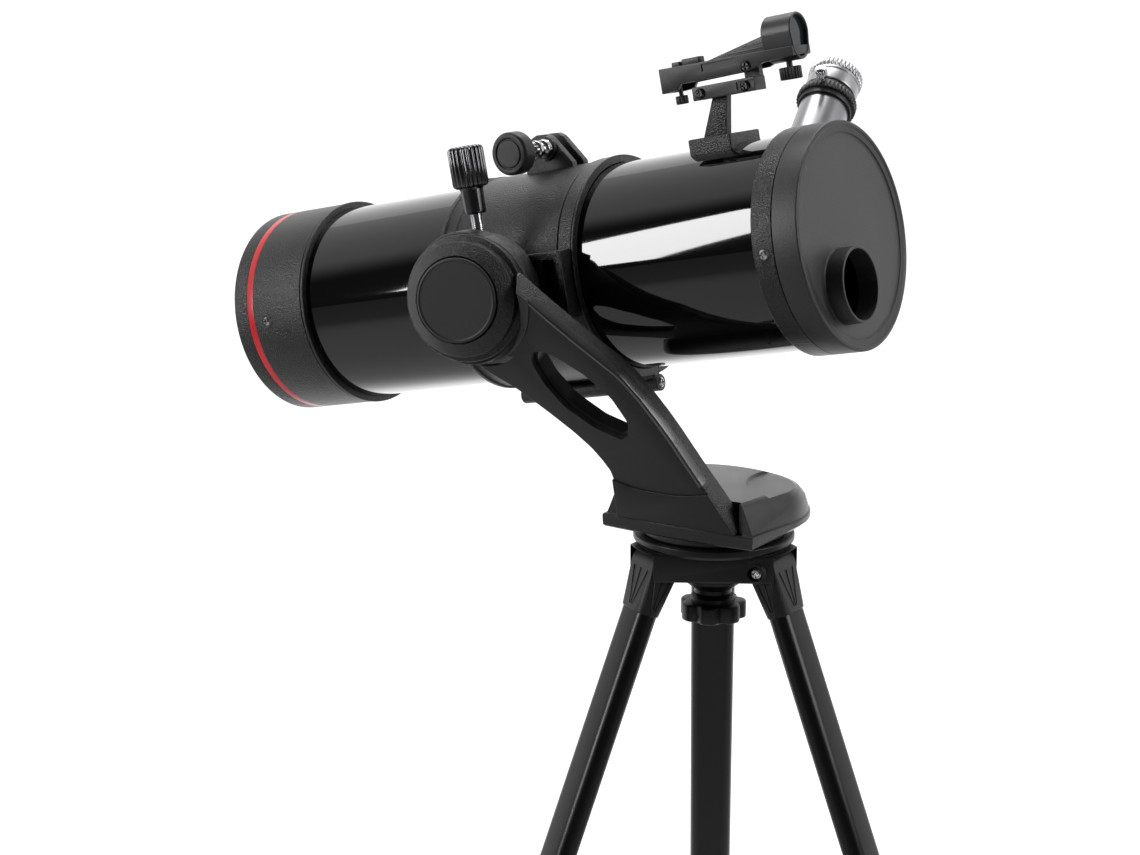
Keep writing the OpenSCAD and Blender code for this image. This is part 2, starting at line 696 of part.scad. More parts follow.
// ---------- finder ----------
module finder_shoe() {
    color(plastic) in_tube() difference() {
        union() {
            translate([at_s(98), -22, 60]) cube([32.5, 39, 17]);
            toward_near(0, -1, 0) linear_extrude(6.4)
                polygon([[at_s(94.5), 76], [at_s(76.5), 76], [at_s(72), 101], [at_s(83), 101]]);
        }
        along_tube(300) cylinder(r = tube_r + 0.05, h = 320);
        translate([at_s(100), -17, 0]) cube([40, 30, 72.5]);
    }
}
module finder_rail() {
    color(plastic) in_tube() difference() {
        union() {
            translate([at_s(93.5), -14, 101.05]) cube([47, 14.5, 8.9]);
            translate([at_s(58), -5, 109]) cube([11, 5, 11.5]);
        }
        toward_near(at_s(pivot_s), 20, 117) cylinder(r = 1.6 + fit, h = 40);
    }
}
finder_half = 12;
hood_front = 16.5;
hood_rear = 38;
pivot_s = 52;
module finder_body() {
    color(plastic) in_tube() difference() {
        union() {
            // Channel that holds the battery, switch and lamp
            toward_near(0, finder_half - 0.5, 0) linear_extrude(2 * finder_half) polygon([
                [at_s(117), 109], [at_s(105), 110], [at_s(103), 113.4], [at_s(45), 114.4],
                [at_s(38), 117], [at_s(17), 117.5], [at_s(17), 124.3], [at_s(117), 125.6]]);
            // Sloped housing up to the hood
            toward_near(0, 9, 0) linear_extrude(18) polygon([
                [at_s(88), 124], [at_s(20), 123], [at_s(20), 134], [at_s(hood_rear), 134]]);
            hull() for (z = [126.5, 133]) translate([at_s(hood_rear), -0.5, z]) rotate([0, 90, 0])
                cylinder(r = z > 130 ? 12.5 : 11, h = hood_rear - hood_front, $fn = 48);
        }
        // Hollow between the side walls
        translate([at_s(113), -9.5, 100]) cube([94, 18, 21]);
        hull() for (z = [124, 133]) translate([at_s(hood_rear + 2), -0.5, z]) rotate([0, 90, 0])
            cylinder(r = z > 130 ? 10.6 : 9, h = 40, $fn = 48);
        toward_near(at_s(pivot_s), 20, 117) cylinder(r = 1.6, h = 25);
    }
    color(steel) in_tube() toward_near(at_s(pivot_s), 11, 117) cylinder(r = 1.6, h = 23);
}
module finder_lens() {
    color(glass) in_tube() hull() for (z = [124.2, 133]) translate([at_s(hood_front + 5), -0.5, z])
        rotate([0, 90, 0]) cylinder(r = z > 130 ? 10.5 : 8.9, h = 2, $fn = 48);
}
module finder_knob() {
    color(plastic) in_tube() translate([at_s(27), -0.5, 0]) {
        translate([0, 0, 104]) ribbed_knob(7.2, 8, 20, 0.8);
        translate([0, 0, 112]) cylinder(r = 2, h = 5.3);
    }
}

tripod_head();
leg_pins();
for (i = [1 : 3]) {
    leg_knuckle(i);
    leg_upper(i);
    leg_collar(i);
    leg_clamp_knob(i);
    leg_lower(i);
    leg_foot(i);
    collimation_knob(i - 1);
}
hand_knob();
azimuth_bolt();
base_pan();
base_cover();
arm();
hub_ring();
hub_cap();
altitude_axle();
altitude_flange();
cradle_near();
cradle_hinge_pin();
cradle_far();
clamp_knob();
clamp_bolt();
altitude_lock();
main_tube();
front_ring();
rear_ring();
ring_screws();
mirror_cell();
primary_mirror();
spider();
secondary_holder();
secondary_mirror();
dust_cap();
focuser_housing();
drawtube();
eyepiece_collar();
focus_knobs();
eyepiece_thumbscrew();
eyepiece_body();
eye_lens();
finder_shoe();
finder_rail();
finder_body();
finder_lens();
finder_knob();
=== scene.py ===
import json
from math import atan2, cos, degrees, pi, radians, sin, tan

import bmesh
import bpy
from mathutils import Matrix, Vector


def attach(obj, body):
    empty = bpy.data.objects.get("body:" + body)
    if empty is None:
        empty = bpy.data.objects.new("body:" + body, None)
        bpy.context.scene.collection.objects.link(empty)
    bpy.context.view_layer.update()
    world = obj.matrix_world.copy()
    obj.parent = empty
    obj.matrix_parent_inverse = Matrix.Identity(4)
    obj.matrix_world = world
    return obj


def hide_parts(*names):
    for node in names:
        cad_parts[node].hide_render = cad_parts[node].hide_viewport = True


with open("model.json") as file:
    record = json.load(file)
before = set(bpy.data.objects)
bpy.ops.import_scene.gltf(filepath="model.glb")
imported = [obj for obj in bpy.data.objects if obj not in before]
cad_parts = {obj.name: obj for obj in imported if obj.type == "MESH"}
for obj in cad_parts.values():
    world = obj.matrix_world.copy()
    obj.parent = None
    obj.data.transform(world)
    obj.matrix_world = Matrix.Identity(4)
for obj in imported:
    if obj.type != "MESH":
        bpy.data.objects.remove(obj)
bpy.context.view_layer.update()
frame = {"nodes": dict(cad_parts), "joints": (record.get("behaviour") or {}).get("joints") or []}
JOINTS = {j["name"]: j for j in frame["joints"]}

# ---------- sizes, in millimetres like the design ----------
MM = 0.001
ALT_S = 226                # station of the altitude axis behind the cap's front face
TUBE_R, TUBE_WALL = 70, 1.2
RING_R, CAP_DEPTH = 74, 18
APERTURE_R, COLLAR_H = 22.6, 10.5
APERTURE_Y, APERTURE_Z = -21, -29.5
TUBE_LEN, REAR_LIP, REAR_R = 472, 404, 74.6
TUBE_FRONT, TUBE_REAR = 6, 438
STRIPE = (453, 459)
CRADLE = (166, 280)
CRADLE_IN, CRADLE_R = 70.5, 73.6
FOCUS_S, FOCUS_TURN, DRAW_R, DRAW_TOP = 59, 50, 17, 131
BARREL_LOW = 113           # lower end of the eyepiece's barrel
PINION_Y, PINION_Z, FOCUS_KNOB_R, GEAR_TOP = 24.6, 82, 11, 91
HUB_R, HUB_CAP_R, HUB_FACE, HUB_BACK = 41.5, 27.5, 36, 6
HUB_TURN, HUB_RISE = 13, 4
HUB_X, HUB_Y, HUB_Z = -121, -103.6, 1049
HEAD_Z, PAN_LOW, PAN_TOP, COVER_TOP = 877, 12.5, 21.5, 42
PIVOT_R, PIVOT_Z, PIN_SEAT = 45.1, -12, 19.5
BOLT_ROOM = 5.06           # radius around the azimuth bolt
LEAN, LEG_HALF, LEG_EDGE, SOCKET_ROOM = 20.7, 15.5, 8, 0.8
LEG_LOW, LEG_WALL, LEG_STEP, CLAMP_Z, FOOT_R = -500, 1.2, 1.6, -494, 372
ARM_LEAN, ARM_T = 25.2, 15
CLAMP_X, CLAMP_H, LOCK_X = 9, 88, 3.5
HINGE_Y, HINGE_H = 6, -82
FINDER_HALF, HOOD_FRONT, HOOD_REAR, PIVOT_S = 12, 16.5, 38, 52


# ---------- frames: each takes millimetres in its own axes to millimetres in the row's ----------
def shift(x, y, z):
    return Matrix.Translation((x, y, z))


def turn(angle, axis):
    return Matrix.Rotation(radians(angle), 4, axis)


TUBE_AXIS = Vector(JOINTS["tube_roll"]["axis"])
TUBE_TILT = degrees(atan2(TUBE_AXIS.z, TUBE_AXIS.x))
TUBE = Matrix.Translation(Vector(JOINTS["altitude"]["pos_m"]) / MM) @ turn(-TUBE_TILT, "Y")
FOCUSER = TUBE @ shift(ALT_S - FOCUS_S, 0, 0) @ turn(-FOCUS_TURN, "X")
HUB = shift(HUB_X, HUB_Y, HUB_Z) @ turn(HUB_TURN, "Z") @ turn(90 - HUB_RISE, "X")
ARM = shift(0, -33.25, HEAD_Z - 15.63) @ turn(90 + ARM_LEAN, "X")
BASE = shift(0, 0, HEAD_Z)
PINION = FOCUSER @ shift(0, PINION_Y, PINION_Z) @ turn(90, "Y")
HINGE = shift(0, HINGE_Y, HINGE_H) @ turn(90, "Y")       # in the tube's axes


def at_s(s):
    return ALT_S - s


def along_tube(s):
    """Z runs towards the tube's front from station s."""
    return TUBE @ shift(at_s(s), 0, 0) @ turn(90, "Y")


def near(x, y, z):
    """Z runs along -Y from the point."""
    return shift(x, y, z) @ turn(90, "X")


def leg(i):
    return turn(120 * (i - 1), "Z") @ shift(PIVOT_R, 0, HEAD_Z + PIVOT_Z) @ turn(-LEAN, "Y")


# ---------- materials ----------
def node(tree, kind, values=(), **settings):
    """A new shader node, its settings made before its input values."""
    made = tree.nodes.new("ShaderNode" + kind)
    for name, value in settings.items():
        setattr(made, name, value)
    return fill(made, values)


def fill(made, values):
    for name, value in values:
        made.inputs[name].default_value = value
    return made


def bumped(tree, coords, scale, detail, strength, distance, normal):
    """The normal with a noise relief on it; distance is the relief's depth in metres."""
    noise = node(tree, "TexNoise", [("Scale", scale), ("Detail", detail)])
    tree.links.new(coords.outputs["Object"], noise.inputs["Vector"])
    bump = node(tree, "Bump", [("Strength", strength), ("Distance", distance)])
    tree.links.new(noise.outputs["Fac"], bump.inputs["Height"])
    if normal:
        tree.links.new(normal, bump.inputs["Normal"])
    return bump.outputs["Normal"]


def material(name, colour, rough, metal=0.0, grain=0.0, grain_size=0.6, rough_vary=0.06,
             coat=0.0, wear_and_edge_highlight=0.0, fine=0.0, specular=0.5, soft_edge=0.0):
    """A surface with patchy gloss, its own grain, and lighter convex edges, partly scuffing and partly a
    painted highlight. Sizes are in millimetres.
    """
    m = bpy.data.materials.new(name)
    m.use_nodes = True
    tree = m.node_tree
    links = tree.links
    shader = fill(tree.nodes["Principled BSDF"], [("Metallic", metal), ("Coat Weight", coat),
                                                  ("Coat Roughness", 0.04),
                                                  ("Specular IOR Level", specular)])
    coords = node(tree, "TexCoord")
    patch = node(tree, "TexNoise", [("Scale", 26), ("Detail", 4)])
    links.new(coords.outputs["Object"], patch.inputs["Vector"])
    spread = node(tree, "MapRange", [("To Min", max(0.02, rough - rough_vary)),
                                     ("To Max", min(1.0, rough + rough_vary))])
    links.new(patch.outputs["Fac"], spread.inputs["Value"])
    links.new(spread.outputs["Result"], shader.inputs["Roughness"])
    tint = node(tree, "Mix", [("A", (*[c * 0.88 for c in colour], 1)),
                              ("B", (*[min(1, c * 1.12) for c in colour], 1))], data_type="RGBA")
    links.new(patch.outputs["Fac"], tint.inputs["Factor"])
    base = tint.outputs["Result"]
    # Convex edges lightened by pointiness: partly scuffing, partly a painted highlight for light caught on
    # rounded edges.
    if wear_and_edge_highlight:
        geometry = node(tree, "NewGeometry")
        edge = node(tree, "MapRange", [("From Min", 0.52), ("From Max", 0.62)])
        links.new(geometry.outputs["Pointiness"], edge.inputs["Value"])
        strength = node(tree, "Math", [(1, wear_and_edge_highlight)], operation="MULTIPLY")
        links.new(edge.outputs["Result"], strength.inputs[0])
        worn_and_lit_edge = node(tree, "Mix", [("B", (*[min(1, c * 2 + 0.06) for c in colour], 1))], data_type="RGBA")
        links.new(strength.outputs["Value"], worn_and_lit_edge.inputs["Factor"])
        links.new(base, worn_and_lit_edge.inputs["A"])
        base = worn_and_lit_edge.outputs["Result"]
    links.new(base, shader.inputs["Base Color"])
    normal = None
    if soft_edge:
        normal = node(tree, "Bevel", [("Radius", soft_edge * MM)], samples=3).outputs["Normal"]
    if grain:
        normal = bumped(tree, coords, 1 / (grain_size * MM), 1.5, grain, 0.0006, normal)
    if fine:
        normal = bumped(tree, coords, 1500, 2, fine, 0.00005, normal)
    if normal:
        links.new(normal, shader.inputs["Normal"])
    return m


def glass(name, tint, rough):
    m = material(name, tint, rough, rough_vary=0.01, specular=0.9)
    fill(m.node_tree.nodes["Principled BSDF"], [("Transmission Weight", 0.25), ("IOR", 1.5)])
    return m


M = {
    "tube": material("tube_gloss", (0.0015, 0.0015, 0.0017), 0.05, coat=1.0, rough_vary=0.012, fine=0.05,
                     specular=0.15),
    "inner": material("inner_flat", (0.008, 0.008, 0.008), 0.9, grain=0.2),
    "ring": material("ring_grain", (0.006, 0.006, 0.0065), 0.32, grain=1.0, grain_size=1.0, wear_and_edge_highlight=0.25,
                     soft_edge=0.5),
    "hub": material("hub_grain", (0.008, 0.008, 0.0085), 0.38, grain=0.9, grain_size=0.9, wear_and_edge_highlight=0.25,
                    soft_edge=0.5),
    "smooth": material("arm_satin", (0.004, 0.004, 0.0044), 0.42, grain=0.16, grain_size=0.9, fine=0.2,
                       wear_and_edge_highlight=0.2,
                       soft_edge=0.4, specular=0.35),
    # The edge strip's base is lighter than the arm's black: a painted highlight for the light line along the
    # arm's upper edge.
    "strip": material("strip_satin_painted_highlight", (0.02, 0.02, 0.021), 0.26, fine=0.25, wear_and_edge_highlight=0.2, specular=0.9),
    "cover": material("cover_satin", (0.008, 0.008, 0.0085), 0.3, grain=0.3, grain_size=0.7, fine=0.2,
                      wear_and_edge_highlight=0.2),
    "cap": material("cap_matte", (0.021, 0.021, 0.022), 0.46, grain=0.35, grain_size=0.8, fine=0.25,
                    wear_and_edge_highlight=0.3),
    "disc": material("disc_matte", (0.014, 0.014, 0.0145), 0.5, fine=0.4, wear_and_edge_highlight=0.2),
    "head": material("head_satin", (0.005, 0.005, 0.0055), 0.36, grain=0.2, grain_size=0.8, fine=0.2,
                     wear_and_edge_highlight=0.3,
                     soft_edge=0.5, specular=0.35),
    "leg": material("leg_satin", (0.003, 0.003, 0.0034), 0.3, fine=0.25, rough_vary=0.05, specular=0.35),
    "knob": material("knob_matte", (0.006, 0.006, 0.0065), 0.4, grain=0.3, grain_size=0.7, wear_and_edge_highlight=0.3,
                     soft_edge=0.4),
    "finder": material("finder_satin", (0.022, 0.022, 0.023), 0.36, grain=0.22, grain_size=0.6, fine=0.3,
                       wear_and_edge_highlight=0.3,
                       soft_edge=0.35),
    "rubber": material("foot_rubber", (0.012, 0.012, 0.012), 0.75, grain=0.5, grain_size=1.2),
    "stripe": material("red_stripe", (0.62, 0.012, 0.02), 0.28, fine=0.15, coat=0.3),
    "chrome": material("chrome", (0.62, 0.62, 0.64), 0.12, metal=1.0, rough_vary=0.04, fine=0.05, wear_and_edge_highlight=0.2),
    "dark_chrome": material("dark_chrome", (0.11, 0.11, 0.115), 0.18, metal=1.0, rough_vary=0.05,
                            fine=0.08, wear_and_edge_highlight=0.4),
    "screw": material("screw_steel", (0.55, 0.55, 0.57), 0.22, metal=1.0, rough_vary=0.08, fine=0.2,
                      wear_and_edge_highlight=0.3),
    "steel": material("turned_steel", (0.5, 0.5, 0.51), 0.3, metal=1.0, rough_vary=0.08, fine=0.3),
    "black_screw": material("black_screw", (0.06, 0.06, 0.062), 0.24, metal=1.0, rough_vary=0.06, fine=0.2,
                            wear_and_edge_highlight=0.5),
    "draw": material("drawtube_satin", (0.34, 0.34, 0.35), 0.3, metal=1.0, rough_vary=0.05, fine=0.2),
    "eyepiece": material("eyepiece_satin", (0.42, 0.42, 0.43), 0.34, metal=1.0, rough_vary=0.06, fine=0.3,
                         wear_and_edge_highlight=0.2),
    "mirror": material("mirror_coating", (0.9, 0.9, 0.92), 0.02, metal=1.0, rough_vary=0.005),
    "slot": material("recess_black", (0.004, 0.004, 0.004), 0.7, fine=0.2),
    "lens": glass("coated_lens", (0.02, 0.028, 0.034), 0.03),
}


# ---------- making meshes ----------
def rounded(points, closed):
    """The corner points (x, y[, radius]) with each radius turned into an arc."""
    out = []
    count = len(points)
    for k, point in enumerate(points):
        p = Vector(point[:2])
        radius = point[2] if len(point) > 2 else 0
        if radius == 0 or (not closed and k in (0, count - 1)):
            out.append(p)
            continue
        a = Vector(points[k - 1][:2]) - p
        b = Vector(points[(k + 1) % count][:2]) - p
        half = a.angle(b) / 2
        reach = min(radius / tan(half), a.length * 0.49, b.length * 0.49)
        start, end = p + a.normalized() * reach, p + b.normalized() * reach
        steps = 5
        for n in range(steps + 1):
            t = n / steps
            out.append(start * (1 - t) ** 2 + p * 2 * t * (1 - t) + end * t ** 2)
    return out


def skin(bm, pairs, sides, caps=()):
    """Faces between each pair of vertex rings, and one over each ring in caps."""
    for low, high in pairs:
        for k in range(sides):
            n = (k + 1) % sides
            corners = [low[k % len(low)], low[n % len(low)], high[n % len(high)], high[k % len(high)]]
            unique = list(dict.fromkeys(corners))
            if len(unique) > 2:
                bm.faces.new(unique)
    for ring in caps:
        bm.faces.new(ring)
    bmesh.ops.recalc_face_normals(bm, faces=bm.faces)
    return bm


def lathe(profile, sides=96):
    """A solid turned about Z from (radius, z[, rounding]) points. A profile that starts on the
    axis ends there too, and is not joined back to its start."""
    closed = profile[0][0] > 0
    bm = bmesh.new()
    path = rounded(profile, closed)
    rings = []
    for point in path:
        if point.x < 1e-6:
            rings.append([bm.verts.new((0, 0, point.y))])
        else:
            rings.append([bm.verts.new((point.x * cos(a), point.x * sin(a),
                                        point.y)) for a in (2 * pi * k / sides for k in range(sides))])
    return skin(bm, list(zip(rings, rings[1:])) + ([(rings[-1], rings[0])] if closed else []), sides)


def rod(radius, z0, z1, sides=48):
    """A plain cylinder along Z."""
    return lathe([(0, z0), (radius, z0), (radius, z1), (0, z1)], sides)


def prism(outline, z0, z1, radius=0.5):
    """An outline (x, y[, rounding]) drawn from z0 to z1, its two rims rounded by radius."""
    bm = bmesh.new()
    base = bm.faces.new([bm.verts.new((p.x, p.y, z0)) for p in rounded(outline, True)])
    lifted = bmesh.ops.extrude_face_region(bm, geom=[base])["geom"]
    tops = [g for g in lifted if isinstance(g, bmesh.types.BMVert)]
    bmesh.ops.translate(bm, vec=(0, 0, z1 - z0), verts=tops)
    bmesh.ops.recalc_face_normals(bm, faces=bm.faces)
    if radius:
        rim = [e for e in bm.edges if abs(e.verts[0].co.z - e.verts[1].co.z) < 1e-6]
        bmesh.ops.bevel(bm, geom=rim, offset=radius, segments=3, profile=0.5, affect="EDGES",
                        clamp_overlap=True)
    return bm


def block(x0, y0, z0, x1, y1, z1, radius=0.5, corner=0.0):
    return prism([(x0, y0, corner), (x1, y0, corner), (x1, y1, corner), (x0, y1, corner)], z0, z1, radius)


def hull(points):
    """The convex mesh around all points."""
    bm = bmesh.new()
    for p in points:
        bm.verts.new(p)
    bmesh.ops.convex_hull(bm, input=bm.verts)
    loose = [v for v in bm.verts if not v.link_faces]
    bmesh.ops.delete(bm, geom=loose, context="VERTS")
    bmesh.ops.recalc_face_normals(bm, faces=bm.faces)
    return bm


def bead(a, b, radius_a, radius_b):
    """A rounded ridge from a to b."""
    points = []
    for centre, radius in ((Vector(a), radius_a), (Vector(b), radius_b)):
        for lift in (-60, -30, 0, 30, 60):
            for k in range(12):
                flat, high = radius * cos(radians(lift)), radius * sin(radians(lift))
                points.append(centre + Vector((flat * cos(k * pi / 6), flat * sin(k * pi / 6), high)))
    return hull(points)


def join(*meshes):
    """Several separate closed shells in one mesh."""
    target = meshes[0]
    for other in meshes[1:]:
        data = bpy.data.meshes.new("part")
        other.to_mesh(data)
        target.from_mesh(data)
        bpy.data.meshes.remove(data)
        other.free()
    return target


def moved(bm, place):
    """The mesh itself, carried to its place."""
    bm.transform(place)
    return bm


def linked(name, data):
    made = bpy.data.objects.new(name, data)
    bpy.context.collection.objects.link(made)
    return made


def temporary(bm):
    """A short-lived object for the boolean step."""
    data = bpy.data.meshes.new("tool")
    bm.to_mesh(data)
    bm.free()
    return linked("tool", data)


def cut(bm, *tools, operation="DIFFERENCE"):
    """The mesh with every tool mesh taken out of it."""
    body = temporary(bm)
    cutters = [temporary(t) for t in tools]
    for tool in cutters:
        step = body.modifiers.new("cut", "BOOLEAN")
        step.operation = operation
        step.object = tool
        step.solver = "EXACT"
    graph = bpy.context.evaluated_depsgraph_get()
    data = bpy.data.meshes.new_from_object(body.evaluated_get(graph))
    result = bmesh.new()
    result.from_mesh(data)
    bmesh.ops.remove_doubles(result, verts=result.verts, dist=0.002)
    bmesh.ops.dissolve_degenerate(result, edges=result.edges, dist=0.001)
    for item in [body] + cutters:
        bpy.data.objects.remove(item)
    bpy.data.meshes.remove(data)
    return result


def piece(name, bm, place, look, body, stands_for="", sharp=32, second=None, chosen=None):
    """Places a mesh drawn in millimetres, gives it its look, ties it to its body and hides the CAD
    node it stands for. Faces that chosen(face) picks, in the piece's own axes, get the second look."""
    data = bpy.data.meshes.new(name)
    if second:
        bm.normal_update()
        for face in bm.faces:
            face.material_index = int(chosen(face))
    bm.to_mesh(data)
    bm.free()
    data.transform(Matrix.Scale(MM, 4) @ place)
    data.shade_smooth()
    data.set_sharp_from_angle(angle=radians(sharp))
    data.materials.append(M[look])
    if second:
        data.materials.append(M[second])
    made = linked(name, data)
    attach(made, body)
    if stands_for:
        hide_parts(stands_for)
    return made


def phillips(name, place, radius, body, look="screw", height=1.9):
    """A domed screw head with a cross recess."""
    dome = lathe([(0, 0), (radius, 0), (radius, height * 0.45, 0.5), (radius * 0.62, height), (0, height)],
                 40)
    arm_len, arm_half = radius * 0.6, radius * 0.15
    bars = [block(-arm_len, -arm_half, height * 0.35, arm_len, arm_half, height + 2, 0),
            block(-arm_half, -arm_len, height * 0.35, arm_half, arm_len, height + 2, 0)]
    return piece(name, cut(dome, *bars), place, look, body)


def fluted(radius, height, flutes, depth, z=0.0, edge=0.8):
    """A knob with round flutes and a chamfered top and bottom."""
    outline = []
    steps = flutes * 10
    for k in range(steps):
        a = 2 * pi * k / steps
        r = radius - depth * (0.5 - 0.5 * cos(flutes * a)) ** 1.4
        outline.append((r * cos(a), r * sin(a)))
    bm = bmesh.new()
    levels = [(0, edge), (edge * 0.35, edge * 0.35), (edge, 0), (height - edge, 0),
              (height - edge * 0.35, edge * 0.35), (height, edge)]
    rings = []
    for lift, inset in levels:
        scale = 1 - inset / radius
        rings.append([bm.verts.new((x * scale, y * scale, z + lift)) for x, y in outline])
    return skin(bm, zip(rings, rings[1:]), steps, (rings[0], rings[-1]))


def threaded(radius, height, pitch, sides=28):
    """A rod with rings that stand for its thread."""
    profile = [(0, 0)]
    turns = int(height / pitch)
    for k in range(turns):
        profile += [(radius * 0.9, k * pitch), (radius, k * pitch + pitch * 0.35),
                    (radius, k * pitch + pitch * 0.6), (radius * 0.9, k * pitch + pitch * 0.95)]
    profile += [(radius * 0.9, height), (0, height)]
    return lathe(profile, sides)


# ---------- optical tube ----------
def make_tube():
    wall = lathe([(TUBE_R, 0), (TUBE_R, TUBE_REAR - TUBE_FRONT),
                  (TUBE_R - TUBE_WALL, TUBE_REAR - TUBE_FRONT), (TUBE_R - TUBE_WALL, 0)], 192)
    to_focuser = along_tube(TUBE_REAR).inverted() @ FOCUSER
    hole = moved(rod(DRAW_R + 2, 40, 90, 48), to_focuser)
    rack_hole = moved(block(-6, 0, 40, 6, 22.3, 90, 0), to_focuser)
    tube = piece("tube_wall", cut(wall, hole, rack_hole), along_tube(TUBE_REAR), "tube", "tube",
                 "main_tube")
    tube.data.materials.append(M["inner"])
    axis_point = Vector(JOINTS["altitude"]["pos_m"])
    for face in tube.data.polygons:
        offset = face.center - axis_point
        radial = offset - TUBE_AXIS * offset.dot(TUBE_AXIS)
        if radial.length < (TUBE_R - TUBE_WALL / 2) * MM:
            face.material_index = 1


def make_front_ring():
    depth = CAP_DEPTH + 15
    band = lathe([(TUBE_R + 0.05, 0), (RING_R, 0, 0.8), (RING_R, depth - CAP_DEPTH - 0.4, 0.4),
                  (RING_R - 2, depth - CAP_DEPTH - 0.4), (RING_R - 2, depth - TUBE_FRONT, 0.4),
                  (TUBE_R + 0.05, depth - TUBE_FRONT)], 160)
    piece("front_band", band, along_tube(depth), "ring", "tube", "front_ring")
    for i in range(3):
        spot = TUBE @ turn(120 * i, "X")
        boss = lathe([(0, -0.6), (4.6, -0.6), (4.6, 0.35, 0.3), (0, 0.35)], 40)
        piece(f"front_screw_boss_{i + 1}", boss, spot @ near(at_s(CAP_DEPTH + 7.5), -RING_R + 0.1, 0),
              "ring", "tube")
        phillips(f"front_screw_{i + 1}", spot @ near(at_s(CAP_DEPTH + 7.5), -RING_R + 0.3, 0), 3.2, "tube")


def make_rear_ring():
    low, high = TUBE_LEN - STRIPE[1], TUBE_LEN - STRIPE[0]
    body, lip = REAR_R - 0.5, TUBE_LEN - REAR_LIP
    profile = [(TUBE_R - 2, 0), (body, 0, 1.5), (body, low, 0.25), (body - 0.7, low), (body - 0.7, high),
               (body, high, 0.25), (body, lip - 3.6, 0.5), (REAR_R - 1.2, lip - 3.2, 0.3),
               (REAR_R - 1.2, lip - 2.6, 0.3), (REAR_R, lip - 2.2, 0.5), (REAR_R, lip, 0.9),
               (TUBE_R + 0.1, lip), (TUBE_R + 0.1, 33), (TUBE_R - 2, 33)]
    plate = lathe([(26, 4, 0.8), (68.1, 4), (68.1, 8), (26, 8, 0.8)], 128)
    ribs = [moved(block(29, -1.2, 2.6, 66, 1.2, 4.2, 0.3), turn(60 * k + 30, "Z")) for k in range(6)]
    piece("rear_band", join(lathe(profile, 160), plate, *ribs), along_tube(TUBE_LEN), "ring", "tube",
          "rear_ring")
    piece("rear_stripe", lathe([(body - 0.65, low + 0.1), (body - 0.05, low + 0.1, 0.15),
                                (body - 0.05, high - 0.1, 0.15), (body - 0.65, high - 0.1)], 160),
          along_tube(TUBE_LEN), "stripe", "tube")
    for i in range(3):
        spot = TUBE @ turn(120 * i, "X")
        cup = lathe([(3.3, -0.5), (5.2, -0.5), (5.2, 0.3, 0.3), (3.5, 0.3, 0.3)], 40)
        piece(f"rear_screw_cup_{i + 1}", cup, spot @ near(at_s(TUBE_REAR + 4), -body + 0.15, 0),
              "ring", "tube")
        made = phillips(f"rear_screw_{i + 1}", spot @ near(at_s(TUBE_REAR + 4), -body + 1.0, 0), 3.2, "tube")
        if i == 0:
            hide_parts("ring_screws")


def make_cap():
    """Skirt with a raised rim, a shallow recessed front and an open collar off centre."""
    rim_r, seat_r = RING_R - 2.6, 66.5
    skirt = lathe([(RING_R - 1.7, 0, 0.2), (RING_R, 0, 0.5), (RING_R, CAP_DEPTH - 0.4, 1.3),
                   (rim_r, CAP_DEPTH, 0.8), (rim_r - 1.2, CAP_DEPTH - 0.8, 0.5),
                   (seat_r, CAP_DEPTH - 1.0, 0.4), (seat_r - 0.7, CAP_DEPTH - 1.9, 0.4),
                   (seat_r - 3, CAP_DEPTH - 2.0), (seat_r - 3, CAP_DEPTH - 3.4),
                   (RING_R - 1.7, CAP_DEPTH - 3.4)], 192)
    spot = shift(-APERTURE_Z, APERTURE_Y, 0)
    plate = rod(seat_r - 2.8, CAP_DEPTH - 3.4, CAP_DEPTH - 1.99, 160)
    hole = moved(rod(APERTURE_R + 0.3, 0, 40, 96), spot)
    piece("cap_shell", join(skirt, cut(plate, hole)), along_tube(CAP_DEPTH), "cap", "dust_cap", "dust_cap")
    top = CAP_DEPTH + COLLAR_H
    collar = lathe([(APERTURE_R, CAP_DEPTH - 3.4), (APERTURE_R + 3.4, CAP_DEPTH - 3.4),
                    (APERTURE_R + 3.4, CAP_DEPTH - 2, 1.2), (APERTURE_R + 1.9, CAP_DEPTH - 1.6, 1.0),
                    (APERTURE_R + 1.8, top, 0.8), (APERTURE_R, top, 0.6)], 96)
    piece("cap_collar", collar, along_tube(CAP_DEPTH) @ spot, "cap", "dust_cap")


